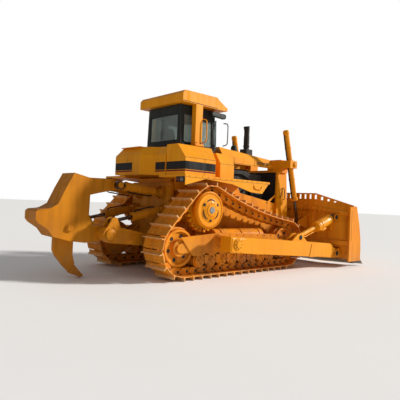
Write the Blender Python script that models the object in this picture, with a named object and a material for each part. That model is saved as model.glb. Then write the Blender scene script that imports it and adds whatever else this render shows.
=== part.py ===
"""Track-type bulldozer with a semi-U blade and a single-shank parallelogram ripper.

Metres, +Z up, +X forward, +Y to the machine's left. Side profiles are written from the
sprocket axle (x = 0) and the ground (z = 0); the root empty shifts them so that the
machine's middle is at the origin.
"""

import math

import bmesh
import bpy
import numpy as np
from mathutils import Matrix

# ---- driving dimensions -------------------------------------------------------------
MIDDLE_X = 1.05            # middle of the machine, ahead of the sprocket axle
GAP = 0.0004               # between pieces that touch
PIN_GAP = 0.0004           # radial clearance of a pin in its bore
SIDE_GAP = 0.006           # between a knuckle and the ears beside it
ROUND = 14                 # sides of a turned piece

TRACK_Y = 1.125            # middle of each track
SHOE_WIDTH = 0.61
SHOE_PITCH = 0.24
GROUSER = 0.075
SHOE_THICKNESS = 0.022
CHAIN_ABOVE = 0.09         # pin line to the shoe's outer face
CHAIN_BELOW = 0.075        # pin line to the rail that the rollers run on
RAIL_IN, RAIL_OUT = 0.070, 0.128
TRACK_SAG = 0.11

SPROCKET_Z, SPROCKET_R = 1.41, 0.44
IDLER_R = 0.475
IDLER_Z = GROUSER + CHAIN_ABOVE + IDLER_R
FRONT_IDLER_X, REAR_IDLER_X = 2.75, -0.72
TEETH = 23
ROLLER_R = 0.13
ROLLER_X = [-0.20 + 0.335 * i for i in range(8)]

CASE_HALF = 0.55           # rear case
CASE_REAR = -0.45
FRAME_HALF = 0.62          # front frame
FRAME_FRONT = 3.16
FLOOR_Z = 2.10             # top of the fenders
FENDER_HALF = 1.455
HOOD_HALF = 0.50
HOOD_REAR, HOOD_LOW = 1.16, 2.56
HOOD_TOP_REAR, HOOD_TOP_FRONT = 2.93, 2.80
HOOD_WALL = 0.02
GUARD_HALF = 0.68
GUARD_LOW, GUARD_TOP = 0.70, 2.52
GUARD_WALL = 0.06
GUARD_SILL = 0.12

CAB_REAR, CAB_CORNER, CAB_FRONT = -0.25, 0.80, 1.03
CAB_LOW, CAB_HIGH = 2.1005, 3.69
CAB_HALF_LOW, CAB_HALF_HIGH = 0.63, 0.57
CAB_NOSE = 0.35
WALL = 0.05
SILL_Z, HEAD_Z = 2.80, 3.50
PANE = 0.012
DOOR_REAR, DOOR_HINGE = 0.27, 0.77
DOOR_LOW, DOOR_HIGH = 2.74, 3.49
DOOR_THICK = 0.045
DOOR_FRAME = 0.06
DOOR_GLASS_LOW = 2.82
DOOR_EDGE = 0.004          # clearance round the door
QUARTER_REAR, QUARTER_FRONT, QUARTER_LOW = -0.17, 0.20, 2.86
REAR_PANE_HALF, REAR_PANE_LOW, REAR_PANE_HIGH = 0.50, 2.90, 3.49
PANE_INSET = 0.015
CANOPY_HALF = 0.774

ARM_IN, ARM_OUT = 1.60, 1.88
ARM_PIVOT = (0.30, 0.74)
BLADE_HALF = 2.157
WING_Y = 1.15
WING_SLOPE = 0.36 / 0.97   # how far the wings come forward, and fall, for each metre outwards
WING_FALL = 0.15 / 0.97
LIFT_Y = 0.92
LIFT_TOP = (3.37, 2.67)    # trunnion of the lift cylinder
LIFT_EYE = (3.81, 1.13)
YOKE_HALF = 0.106          # half the slot that the lift cylinder hangs in
TRUNNION_HALF = 0.132
PIN_END = 0.003            # past each end of the trunnion
TILT_Y = 1.74
TILT_BASE = (2.62, 0.82)
TILT_EYE = (4.27, 1.32)
BLADE_PIN = (4.30, 0.36)
TONGUE_HALF = 0.09         # the arm's end, between the blade's lugs

LINK_PIVOT = (-0.84, 0.73)
LINK_PIN = (-1.90, 0.88)
LINK_IN, LINK_OUT = 0.42, 0.62
RIP_LIFT_BASE = (-0.62, 1.37)
RIP_LIFT_EYE = (-1.82, 1.13)
RIP_LIFT_Y = 0.52
RIP_TILT_BASE = (-0.62, 1.74)
RIP_TILT_EYE = (-1.62, 1.84)
RIP_TILT_Y = 0.40
CARRIER_HALF = 0.25
SHANK_REAR, SHANK_FRONT, SHANK_TOP = -2.76, -2.38, 1.30
SHANK_HALF = 0.042

ARM_PIN_R = 0.085          # pins and the bores round them
BLADE_PIN_R = 0.045
TILT_PIN_R = 0.045
LIFT_PIN_R = 0.04
LINK_PIN_R = 0.055
RIP_PIN_R = 0.04
LIFT_ROD_R = 0.04          # piston rods and the bores round them
TILT_ROD_R = 0.045
RIP_LIFT_ROD_R = 0.035
RIP_TILT_ROD_R = 0.04
LIFT_EYE_HALF = 0.055      # half widths of the rod eyes
TILT_EYE_HALF = 0.055
RIP_LIFT_EYE_HALF = 0.052
RIP_TILT_EYE_HALF = 0.050
EAR_GAP = 0.010            # from a rod eye to the ears beside it
RIP_BOSS_HALF = 0.05       # half widths of the ripper tubes' bosses

# ---- colours ------------------------------------------------------------------------
PAINT = (0.92, 0.43, 0.045)
PAINT_DEEP = (0.78, 0.31, 0.03)
DARK = (0.035, 0.038, 0.035)
STEEL = (0.55, 0.55, 0.54)
GLASS = (0.30, 0.42, 0.42)
INSIDE = (0.05, 0.06, 0.055)


# ---- shapes: each is (points, faces) of one closed body ------------------------------
def loft(rings):
    """Closed body through rings of equal length, with flat ends."""
    n = len(rings[0])
    points = [tuple(p) for ring in rings for p in ring]
    faces = [tuple(range(n)), tuple(range(len(points) - n, len(points)))]
    for k in range(len(rings) - 1):
        for i in range(n):
            j = (i + 1) % n
            faces.append((k * n + i, k * n + j, k * n + n + j, k * n + n + i))
    return points, faces


def plate_y(profile, y0, y1):
    """Side profile of (x, z) points, thick along Y."""
    return loft([[(x, y, z) for x, z in profile] for y in (y0, y1)])


def plate_x(profile, x0, x1):
    """Profile of (y, z) points, thick along X."""
    return loft([[(x, y, z) for y, z in profile] for x in (x0, x1)])


def plate_z(plan, z0, z1):
    """Plan of (x, y) points, thick along Z."""
    return loft([[(x, y, z) for x, y in plan] for z in (z0, z1)])


def box(x0, x1, y0, y1, z0, z1):
    return plate_z([(x0, y0), (x1, y0), (x1, y1), (x0, y1)], z0, z1)


def bar(start, end, radius, sides=ROUND, half_step=False, end_radius=None):
    """Round bar or cone between two points."""
    a, b = np.array(start, float), np.array(end, float)
    along = (b - a) / np.linalg.norm(b - a)
    side = np.cross(along, (0.0, 1.0, 0.0))
    if np.linalg.norm(side) < 0.1:
        side = np.array((0.0, 0.0, 1.0))
    side /= np.linalg.norm(side)
    other = np.cross(along, side)
    turn = [2 * math.pi * (i + 0.5 * half_step) / sides for i in range(sides)]
    radii = (radius, radius if end_radius is None else end_radius)
    return loft([[c + r * (math.cos(t) * side + math.sin(t) * other) for t in turn]
                 for c, r in zip((a, b), radii)])


def pin_y(at, y0, y1, radius, sides=ROUND, half_step=False):
    """Round bar along Y at an (x, z) point."""
    return bar((at[0], y0, at[1]), (at[0], y1, at[1]), radius, sides, half_step)


def bore_y(at, y0, y1, pin_radius, sides=ROUND):
    """Cutter for a pin of that radius, a little wider all round."""
    radius = (pin_radius + PIN_GAP) / math.cos(math.pi / sides)
    return pin_y(at, y0, y1, radius, sides, half_step=True)


def turned_y(at, y_sign, profile, sides=ROUND):
    """Body turned about Y: profile of (distance along Y, radius)."""
    rings = []
    for y, r in profile:
        turn = [2 * math.pi * i / sides for i in range(sides)]
        rings.append([(at[0] + r * math.cos(t), y_sign * y, at[1] + r * math.sin(t)) for t in turn])
    return loft(rings)


def arc(centre, radius, start, stop, steps):
    """Points on an arc in a side profile, angles in degrees from +X towards +Z."""
    angles = np.radians(np.linspace(start, stop, steps + 1))
    return [(centre[0] + radius * math.cos(a), centre[1] + radius * math.sin(a)) for a in angles]


def between(a, b, distance, across=0.0):
    """Point at a distance from a towards b, and offset to the left of that line."""
    a, b = np.array(a, float), np.array(b, float)
    u = (b - a) / np.linalg.norm(b - a)
    return tuple(a + distance * u + across * np.array((-u[1], u[0])))


def link_plate(a, b, ra, rb, y0, y1, steps=4):
    """Plate with round ends about two pins."""
    angle = math.degrees(math.atan2(b[1] - a[1], b[0] - a[0]))
    profile = arc(a, ra, angle + 90, angle + 270, steps) + arc(b, rb, angle - 90, angle + 90, steps)
    return plate_y(profile, y0, y1)


# ---- solids --------------------------------------------------------------------------
for old in list(bpy.data.objects):
    bpy.data.objects.remove(old, do_unlink=True)

PIVOTS = {}                # where each piece's own origin stands
machine = bpy.data.objects.new("bulldozer", None)
machine.location = (-MIDDLE_X, 0.0, 0.0)
bpy.context.scene.collection.objects.link(machine)


def unevenness(face):
    """Furthest that a corner lies off the face's own plane."""
    middle = face.calc_center_median()
    return max(abs((corner.co - middle).dot(face.normal)) for corner in face.verts)


def raw_object(name, shape):
    """Object of one shape with its faces turned outwards."""
    mesh = bpy.data.meshes.new(name)
    mesh.from_pydata(shape[0], [], shape[1])
    work = bmesh.new()
    work.from_mesh(mesh)
    bmesh.ops.remove_doubles(work, verts=work.verts, dist=1e-6)
    bmesh.ops.recalc_face_normals(work, faces=work.faces)
    bent = [face for face in work.faces if unevenness(face) > 1e-6]
    bmesh.ops.triangulate(work, faces=bent)
    work.to_mesh(mesh)
    work.free()
    obj = bpy.data.objects.new(name, mesh)
    bpy.context.scene.collection.objects.link(obj)
    return obj


def painted(name, colour, roughness, metallic):
    material = bpy.data.materials.new(name)
    material.use_nodes = True
    shader = material.node_tree.nodes["Principled BSDF"]
    shader.inputs["Base Color"].default_value = (*colour, 1.0)
    shader.inputs["Roughness"].default_value = roughness
    shader.inputs["Metallic"].default_value = metallic
    material.diffuse_color = (*colour, 1.0)
    return material


def solid(name, shapes, cuts=(), pivot=(0.0, 0.0, 0.0), colour=PAINT, roughness=0.42,
          metallic=0.0, parent=machine, smooth=None):
    """One named piece: the union of its shapes, less its cuts, with its origin at pivot."""
    base = raw_object(name, shapes[0])
    helpers = []
    for operation, items in (("UNION", shapes[1:]), ("DIFFERENCE", cuts)):
        for shape in items:
            helper = raw_object("helper", shape)
            helper.hide_render = True
            helper.display_type = "WIRE"
            modifier = base.modifiers.new(operation.lower(), "BOOLEAN")
            modifier.operation = operation
            modifier.object = helper
            modifier.solver = "EXACT"
            helpers.append(helper)
    if helpers:
        graph = bpy.context.evaluated_depsgraph_get()
        mesh = bpy.data.meshes.new_from_object(base.evaluated_get(graph))
        base.modifiers.clear()
        base.data = mesh
        for helper in helpers:
            bpy.data.objects.remove(helper, do_unlink=True)
    base.data.name = name
    base.data.transform(Matrix.Translation([-value for value in pivot]))
    base.data.materials.clear()
    base.data.materials.append(painted(name, colour, roughness, metallic))
    if smooth:
        base.data.shade_smooth()
        base.data.set_sharp_from_angle(angle=math.radians(smooth))
    base.parent = parent
    offset = np.array(pivot, float) - np.array(PIVOTS.get(parent.name, (0.0, 0.0, 0.0)))
    base.location = tuple(offset)
    PIVOTS[name] = pivot
    return base


def side_name(base, s):
    return base + ("_left" if s > 0 else "_right")


def span(s, near, far):
    """The y limits of a piece on side s."""
    return (s * near, s * far) if s > 0 else (s * far, s * near)


def ears(s, middle, half, thick):
    """The y limits of the two ears of a yoke, whose inner faces are half from its middle."""
    return [span(s, middle - half - thick, middle - half), span(s, middle + half, middle + half + thick)]


# ---- tracks --------------------------------------------------------------------------
def track_line():
    """Pin line of the track seen from the side, as dense points, clockwise from the sprocket."""
    wheels = [((0.0, SPROCKET_Z), SPROCKET_R), ((FRONT_IDLER_X, IDLER_Z), IDLER_R),
              ((REAR_IDLER_X, IDLER_Z), IDLER_R)]
    normals = []
    for k in range(3):
        (a, ra), (b, rb) = wheels[k], wheels[(k + 1) % 3]
        d = np.subtract(b, a)
        length = np.linalg.norm(d)
        u = d / length
        v = np.array((-u[1], u[0]))
        lean = (ra - rb) / length
        normals.append(u * lean + v * math.sqrt(1 - lean * lean))
    line = []
    for k in range(3):
        centre, radius = wheels[k]
        start = math.atan2(normals[k - 1][1], normals[k - 1][0])
        stop = math.atan2(normals[k][1], normals[k][0])
        sweep = (start - stop) % (2 * math.pi)
        for t in np.linspace(0, 1, max(3, int(math.degrees(sweep) / 2)))[:-1]:
            a = start - sweep * t
            line.append((centre[0] + radius * math.cos(a), centre[1] + radius * math.sin(a)))
        after, radius_after = wheels[(k + 1) % 3]
        p = np.array(centre) + radius * normals[k]
        q = np.array(after) + radius_after * normals[k]
        sag = TRACK_SAG if k == 0 else 0.0
        for t in np.linspace(0, 1, 41)[:-1]:
            line.append(tuple(p + (q - p) * t - normals[k] * 4 * sag * t * (1 - t)))
    return np.array(line)


def track_stations():
    """Points and outward normals where the section changes: three for each shoe."""
    line = track_line()
    closed = np.vstack([line, line[:1]])
    run = np.concatenate([[0.0], np.cumsum(np.linalg.norm(np.diff(closed, axis=0), axis=1))])
    shoes = round(run[-1] / SHOE_PITCH)
    pitch = run[-1] / shoes
    places = (np.arange(shoes)[:, None] + np.array((0.0, 0.80, 0.88))).ravel() * pitch

    def at(s):
        s = s % run[-1]
        return np.stack([np.interp(s, run, closed[:, i]) for i in (0, 1)], axis=1)

    point = at(places)
    ahead = at(places + 0.02) - at(places - 0.02)
    ahead /= np.linalg.norm(ahead, axis=1)[:, None]
    normal = np.stack([-ahead[:, 1], ahead[:, 0]], axis=1)
    return point, normal


def track(name, s):
    """Belt of shoes with one grouser each, on two rails of links."""
    point, normal = track_stations()
    top = CHAIN_ABOVE
    under = CHAIN_ABOVE - SHOE_THICKNESS
    low = -CHAIN_BELOW
    half = SHOE_WIDTH / 2
    section = [(-half, top), (half, top), (half, under), (RAIL_OUT, under), (RAIL_OUT, low),
               (RAIL_IN, low), (RAIL_IN, under), (-RAIL_IN, under), (-RAIL_IN, low),
               (-RAIL_OUT, low), (-RAIL_OUT, under), (-half, under)]
    points, faces = [], []
    count, n = len(point), len(section)
    for k in range(count):
        tip = GROUSER if k % 3 == 2 else 0.0
        for i, (y, up) in enumerate(section):
            reach = up + (tip if i < 2 else 0.0)
            x, z = point[k] + normal[k] * reach
            points.append((x, s * TRACK_Y + y, z))
    for k in range(count):
        m = (k + 1) % count
        for i in range(n):
            j = (i + 1) % n
            faces.append((k * n + i, k * n + j, m * n + j, m * n + i))
    return solid(name, [(points, faces)], colour=PAINT_DEEP, roughness=0.6)


def inner_radius(radius):
    """Largest wheel that clears the straight links round it."""
    half_chord = 0.40 * SHOE_PITCH
    return math.sqrt(radius * radius - half_chord * half_chord) - 2 * GAP


def idler(name, s, x):
    """Guide wheel with a flange between the rails."""
    at = (x, IDLER_Z)
    tread = inner_radius(IDLER_R - CHAIN_BELOW)
    mid = TRACK_Y
    profile = [(mid - 0.155, 0.11), (mid - 0.125, tread - 0.01), (mid - 0.120, tread),
               (mid - 0.060, tread),
               (mid - 0.050, tread + 0.03), (mid + 0.050, tread + 0.03), (mid + 0.060, tread),
               (mid + 0.120, tread), (mid + 0.05, tread - 0.07), (mid + 0.05, 0.17), (mid + 0.155, 0.11)]
    return solid(name, [turned_y(at, s, profile, 22)], pivot=(x, s * mid, IDLER_Z),
                 colour=PAINT_DEEP, roughness=0.5, smooth=35)


def sprocket(name, s):
    """Toothed ring on the final drive's hub."""
    at = (0.0, SPROCKET_Z)
    mid = TRACK_Y
    hub = [(CASE_HALF + GAP, 0.30), (CASE_HALF + 0.20, 0.33), (mid + 0.15, 0.33), (mid + 0.15, 0.385),
           (mid + 0.215, 0.385), (mid + 0.235, 0.365), (mid + 0.235, 0.15), (mid + 0.275, 0.13),
           (mid + 0.275, 0.05)]
    ring = []
    for k in range(TEETH):
        for part, radius in ((0.0, 0.395), (0.35, 0.472), (0.65, 0.472)):
            a = 2 * math.pi * (k + part) / TEETH
            ring.append((radius * math.cos(a), SPROCKET_Z + radius * math.sin(a)))
    y0, y1 = span(s, mid - 0.045, mid + 0.045)
    return solid(name, [turned_y(at, s, hub, 24), plate_y(ring, y0, y1)],
                 pivot=(0.0, s * mid, SPROCKET_Z), roughness=0.4, smooth=35)


def track_frame(name, s):
    """Beam that carries the idlers and rollers, with its guards and pivot stubs."""
    mid = TRACK_Y
    rail_z = IDLER_Z - IDLER_R + CHAIN_BELOW
    roller_z = rail_z + ROLLER_R + GAP

    def cube(x0, x1, near, far, z0, z1):
        y0, y1 = span(s, near, far)
        return box(x0, x1, y0, y1, z0, z1)

    shapes = [cube(-0.27, 2.28, mid - 0.17, mid + 0.19, 0.56, 0.86)]
    for x in (FRONT_IDLER_X, REAR_IDLER_X):
        inward = -1 if x > 0 else 1
        for near in (mid - 0.19, mid + 0.1555):
            y0, y1 = span(s, near, near + 0.034)
            shapes.append(plate_y(arc((x, IDLER_Z), 0.10, 90 * inward, 90 * inward + 180, 4)
                                  + [(x + inward * 0.60, IDLER_Z - inward * 0.10),
                                     (x + inward * 0.60, IDLER_Z + inward * 0.10)], y0, y1))
    y0, y1 = span(s, mid + 0.188, mid + 0.212)
    shapes.append(plate_y([(-0.75, 0.86), (-0.42, 0.48), (2.30, 0.50), (2.42, 0.74), (2.28, 0.86),
                           (0.60, 0.93), (0.30, 0.93)], y0, y1))
    shapes.append(bar((0.25, s * (mid + 0.03), 0.84), (1.86, s * (mid + 0.03), 0.84), 0.165, 12))
    for x in ROLLER_X:
        y0, y1 = span(s, mid - 0.145, mid + 0.195)
        shapes.append(pin_y((x, roller_z), y0, y1, ROLLER_R, 10))
    for near in (mid - 0.17, mid + 0.15):
        teeth = [(ROLLER_X[0] - 0.12, 0.58)]
        for x in ROLLER_X:
            teeth += [(x - 0.12, 0.50), (x - 0.06, roller_z - 0.03), (x + 0.06, roller_z - 0.03),
                      (x + 0.12, 0.50)]
        teeth.append((ROLLER_X[-1] + 0.12, 0.58))
        y0, y1 = span(s, near, near + 0.02)
        shapes.append(plate_y(teeth, y0, y1))
    y0, y1 = span(s, FRAME_HALF + GAP, mid)
    shapes.append(pin_y((0.62, 0.76), y0, y1, 0.09))
    y0, y1 = span(s, mid + 0.18, ARM_OUT - 0.06)
    shapes.append(pin_y(ARM_PIVOT, y0, y1, ARM_PIN_R))
    y0, y1 = span(s, mid + 0.20, ARM_IN - 0.02)
    shapes.append(pin_y(ARM_PIVOT, y0, y1, 0.14))
    return solid(name, shapes, roughness=0.45, smooth=30)


for s in (1, -1):
    track(side_name("track", s), s)
    track_frame(side_name("track_frame", s), s)
    sprocket(side_name("sprocket", s), s)
    idler(side_name("front_idler", s), s, FRONT_IDLER_X)
    idler(side_name("rear_idler", s), s, REAR_IDLER_X)


# ---- main frame, engine and hood -------------------------------------------------------
rear_case = [(CASE_REAR, 0.58), (CASE_REAR, 2.05), (1.05, 2.05), (1.05, 0.58), (0.9, 0.50), (-0.30, 0.50)]
frame_shapes = [plate_y(rear_case, -CASE_HALF, CASE_HALF),
                box(0.95, FRAME_FRONT, -FRAME_HALF, FRAME_HALF, 0.50, 0.58),
                box(CAB_REAR, HOOD_REAR - GAP, -FRAME_HALF, FRAME_HALF, 2.04, FLOOR_Z)]
for s in (1, -1):
    y0, y1 = span(s, FRAME_HALF - 0.16, FRAME_HALF)
    frame_shapes.append(box(0.30, FRAME_FRONT, y0, y1, 0.54, 1.10))
    y0, y1 = span(s, FRAME_HALF - 0.04, FRAME_HALF)
    frame_shapes.append(plate_y([(0.98, 1.05), (0.98, 2.05), (1.62, 2.05), (1.74, 1.84),
                                 (FRAME_FRONT, 1.62), (FRAME_FRONT, 1.05)], y0, y1))
solid("main_frame", frame_shapes, roughness=0.5)

solid("engine", [box(1.20, 2.95, -0.36, 0.36, 0.58 + GAP, 2.10),
                 box(1.30, 2.80, -0.40, 0.40, 1.55, 2.36),
                 bar((1.45, -0.22, 2.30), (2.35, -0.22, 2.30), 0.17, 16)],
      colour=INSIDE, roughness=0.6, smooth=35)


HOOD_FRONT = LIFT_TOP[0] - 0.17 - GAP


def hood_ring(x, top, wall=0.0, low=HOOD_LOW):
    """Section of the hood, drawn in by a wall for the hollow under it."""
    half = HOOD_HALF - wall
    return [(x, -half, low), (x, -half, top - 0.16), (x, -half + 0.11, top - wall),
            (x, half - 0.11, top - wall), (x, half, top - 0.16), (x, half, low)]


solid("hood", [loft([hood_ring(HOOD_REAR, HOOD_TOP_REAR), hood_ring(HOOD_FRONT, HOOD_TOP_FRONT)])],
      cuts=[loft([hood_ring(HOOD_REAR - 0.06, HOOD_TOP_REAR, HOOD_WALL, HOOD_LOW - 0.2),
                  hood_ring(HOOD_FRONT + 0.1, HOOD_TOP_FRONT, HOOD_WALL, HOOD_LOW - 0.2)])],
      roughness=0.38)

EXHAUST_X = 2.62
EXHAUST_HALF = 0.12
hood_fall = (HOOD_TOP_REAR - HOOD_TOP_FRONT) / (HOOD_FRONT - HOOD_REAR)
exhaust_foot = HOOD_TOP_REAR - hood_fall * (EXHAUST_X - EXHAUST_HALF - HOOD_REAR) + 2 * GAP
solid("exhaust_stack", [box(EXHAUST_X - EXHAUST_HALF, EXHAUST_X + EXHAUST_HALF, -EXHAUST_HALF, EXHAUST_HALF,
                            exhaust_foot, 3.05),
                        bar((EXHAUST_X, 0, 3.0), (EXHAUST_X, 0, 3.58), 0.073),
                        bar((EXHAUST_X, 0, 3.56), (EXHAUST_X - 0.02, 0, 3.68), 0.074, end_radius=0.085)],
      cuts=[bar((EXHAUST_X, 0, 3.30), (EXHAUST_X - 0.022, 0, 3.75), 0.062)],
      colour=DARK, roughness=0.5, smooth=35)

# ---- radiator guard --------------------------------------------------------------------
guard_side = [(FRAME_FRONT + GAP, GUARD_LOW), (FRAME_FRONT + GAP, GUARD_TOP), (3.52, GUARD_TOP),
              (3.56, GUARD_TOP - 0.05), (3.72, GUARD_LOW)]
yokes = []
yoke_slots = []
for s in (1, -1):
    y0, y1 = span(s, GUARD_HALF - 0.02, LIFT_Y + 0.155)
    yokes.append(box(LIFT_TOP[0] - 0.20, LIFT_TOP[0] + 0.10, y0, y1, LIFT_TOP[1] - 0.10, LIFT_TOP[1] + 0.10))
    y0, y1 = span(s, 0.30, GUARD_HALF + 0.06)
    yokes.append(box(LIFT_TOP[0] - 0.17, LIFT_TOP[0] + 0.15, y0, y1, GUARD_TOP - GUARD_WALL,
                     LIFT_TOP[1] + 0.13))
    y0, y1 = span(s, LIFT_Y - YOKE_HALF, LIFT_Y + YOKE_HALF)
    yoke_slots.append(box(LIFT_TOP[0] - 0.14, LIFT_TOP[0] + 0.30, y0, y1, LIFT_TOP[1] - 0.30,
                          LIFT_TOP[1] + 0.30))
    y0, y1 = span(s, LIFT_Y - TRUNNION_HALF - PIN_END, LIFT_Y + TRUNNION_HALF + PIN_END)
    yoke_slots.append(bore_y(LIFT_TOP, y0, y1, LIFT_PIN_R))
duct_half = GUARD_HALF - GUARD_WALL
duct_low, duct_high = GUARD_LOW + GUARD_SILL, GUARD_TOP - GUARD_WALL
solid("radiator_guard", [plate_y(guard_side, -GUARD_HALF, GUARD_HALF)] + yokes,
      cuts=[box(3.0, 4.0, -duct_half, duct_half, duct_low, duct_high)] + yoke_slots, roughness=0.4)
solid("radiator_core", [box(FRAME_FRONT + 0.02, 3.32, -duct_half + GAP, duct_half - GAP,
                            duct_low + GAP, duct_high - GAP)],
      colour=INSIDE, roughness=0.7)
grille_face = [(3.52, duct_low + GAP), (3.40, duct_high - GAP), (3.44, duct_high - GAP),
               (3.56, duct_low + GAP)]
slots = []
for k in range(5):
    z = 0.95 + 0.30 * k
    for s in (1, -1):
        y0, y1 = span(s, 0.04, duct_half - 0.07)
        slots.append(box(3.2, 3.8, y0, y1, z, z + 0.22))
solid("radiator_grille", [plate_y(grille_face, -duct_half + GAP, duct_half - GAP)],
      cuts=slots, colour=DARK, roughness=0.5)

# ---- fenders, tanks and boxes ----------------------------------------------------------
for s in (1, -1):
    y0, y1 = span(s, FRAME_HALF + GAP, FENDER_HALF)
    top = box(-0.81, 1.83, y0, y1, FLOOR_Z - 0.05, FLOOR_Z)
    y0, y1 = span(s, TRACK_Y + SHOE_WIDTH / 2 + 0.008, FENDER_HALF)
    skirt = plate_y([(-0.81, FLOOR_Z), (1.83, FLOOR_Z), (1.56, 1.82), (1.16, 1.84), (0.55, 1.98),
                     (-0.26, 2.04), (-0.81, 1.89)], y0, y1)
    y0, y1 = span(s, FRAME_HALF + GAP, FRAME_HALF + 0.03)
    web = plate_y([(-0.40, FLOOR_Z), (1.60, FLOOR_Z), (1.60, 1.80), (-0.40, 1.80)], y0, y1)
    solid(side_name("fender", s), [top, skirt, web], roughness=0.42)

TANK_LOW = FLOOR_Z + GAP
tank_plan = [(-1.00, 0.75), (-1.00, -0.20), (-0.80, -0.47), (-0.80, -0.80), (CAB_REAR - 0.02, -0.80),
             (CAB_REAR - 0.02, 0.75)]


def shrink(plan, amount):
    """The plan with its rear corners moved forward, for a bevelled top."""
    return [(x + (amount if x < -0.5 else 0.0), y - (amount if y > 0.5 else 0.0)) for x, y in plan]


solid("rear_tank", [loft([[(x, y, TANK_LOW) for x, y in tank_plan],
                          [(x, y, 2.52) for x, y in tank_plan],
                          [(x, y, 2.70) for x, y in shrink(tank_plan, 0.12)]])], roughness=0.4)


def side_box(name, s, x0, x1, near, far, bevel_z, top_z, bevel, lead=0.0):
    """Box on the fender with its outer top edge bevelled; lead slopes its front."""
    y0, y1, y2 = s * near, s * far, s * (far - bevel)
    rings = [[(x, y0, TANK_LOW), (x, y1, TANK_LOW), (x, y1, bevel_z), (x + k * lead, y2, top_z),
              (x + k * lead, y0, top_z)] for k, x in ((0, x0), (1, x1))]
    return solid(name, [loft(rings)], roughness=0.4)


side_box("side_tank_right", -1, -0.78, 0.06, 0.81, 1.40, 2.44, 2.72, 0.25, lead=0.10)
side_box("side_tank_left", 1, -0.45, 0.06, 0.81, 1.40, 2.44, 2.70, 0.25, lead=0.10)
side_box("front_box_right", -1, 0.35, 0.79, 0.90, 1.25, 2.42, 2.65, 0.15)


# ---- cab ---------------------------------------------------------------------------------
def cab_half(z, inset=0.0):
    """Half width of the cab at a height, less an inset."""
    t = (z - CAB_LOW) / (CAB_HIGH - CAB_LOW)
    return CAB_HALF_LOW + (CAB_HALF_HIGH - CAB_HALF_LOW) * t - inset


def cab_plan(z, inset=0.0):
    """Outline of the cab at a height, with its nose corners cut off."""
    half = cab_half(z, inset)
    nose = CAB_NOSE + half - CAB_HALF_LOW + 0.5 * inset
    return [(CAB_REAR + inset, -half, z), (CAB_CORNER - 0.4 * inset, -half, z), (CAB_FRONT - inset, -nose, z),
            (CAB_FRONT - inset, nose, z), (CAB_CORNER - 0.4 * inset, half, z), (CAB_REAR + inset, half, z)]


def nose_ring(z, outside, inside, back):
    """Bent band round the front of the cab, between two insets."""
    outer, inner = cab_plan(z, outside)[1:5], cab_plan(z, inside)[1:5]
    return [(x + (back if abs(y) > 0.5 else 0.0), y, z) for x, y, z in outer + inner[::-1]]


def side_panel(s, x0, x1, z0, z1, inset, thick):
    """Flat panel lying in the sloped side of the cab."""
    rings = []
    for z in (z0, z1):
        y0, y1 = s * cab_half(z, inset), s * cab_half(z, inset + thick)
        rings.append([(x0, y0, z), (x1, y0, z), (x1, y1, z), (x0, y1, z)])
    return loft(rings)


cuts = [loft([cab_plan(CAB_LOW + WALL, WALL), cab_plan(CAB_HIGH - WALL, WALL)]),
        box(CAB_REAR - 0.1, CAB_REAR + 0.1, -REAR_PANE_HALF, REAR_PANE_HALF, REAR_PANE_LOW, REAR_PANE_HIGH),
        loft([nose_ring(SILL_Z, -0.08, 0.20, 0.07), nose_ring(HEAD_Z, -0.08, 0.20, 0.07)])]
for s in (1, -1):
    cuts.append(side_panel(s, DOOR_REAR, DOOR_HINGE, DOOR_LOW, DOOR_HIGH, -0.05, 0.16))
    cuts.append(side_panel(s, QUARTER_REAR, QUARTER_FRONT, QUARTER_LOW, HEAD_Z, -0.05, 0.16))
solid("cab_shell", [loft([cab_plan(CAB_LOW), cab_plan(CAB_HIGH)])], cuts=cuts, colour=DARK, roughness=0.45)

solid("windshield", [loft([nose_ring(SILL_Z + GAP, 0.014, 0.014 + PANE, 0.071),
                           nose_ring(HEAD_Z - GAP, 0.014, 0.014 + PANE, 0.071)])],
      colour=GLASS, roughness=0.06)
solid("rear_window", [box(CAB_REAR + PANE_INSET, CAB_REAR + PANE_INSET + PANE, -REAR_PANE_HALF + GAP,
                          REAR_PANE_HALF - GAP, REAR_PANE_LOW + GAP, REAR_PANE_HIGH - GAP)],
      colour=GLASS, roughness=0.06)
for s in (1, -1):
    solid(side_name("quarter_window", s),
          [side_panel(s, QUARTER_REAR + GAP, QUARTER_FRONT - GAP, QUARTER_LOW + GAP, HEAD_Z - GAP,
                      PANE_INSET, PANE)],
          colour=GLASS, roughness=0.06)

CAB_FLOOR = CAB_LOW + WALL + GAP
console_side = [(0.62, CAB_FLOOR), (0.97, CAB_FLOOR), (0.97, 2.70), (0.86, 2.82), (0.72, 2.80)]
solid("cab_console", [plate_y(console_side, -0.24, 0.24)],
      colour=INSIDE, roughness=0.6)
solid("seat", [box(-0.08, 0.30, -0.17, 0.17, CAB_FLOOR, 2.42), box(-0.13, 0.36, -0.25, 0.25, 2.41, 2.56),
               plate_y([(-0.15, 2.50), (-0.02, 2.50), (-0.10, 3.22), (-0.19, 3.22)], -0.24, 0.24),
               box(-0.06, 0.24, -0.34, -0.26, 2.66, 2.73), box(-0.02, 0.05, -0.34, -0.20, 2.50, 2.68),
               box(-0.06, 0.24, 0.26, 0.34, 2.66, 2.73), box(-0.02, 0.05, 0.20, 0.34, 2.50, 2.68)],
      colour=INSIDE, roughness=0.8)

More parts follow.
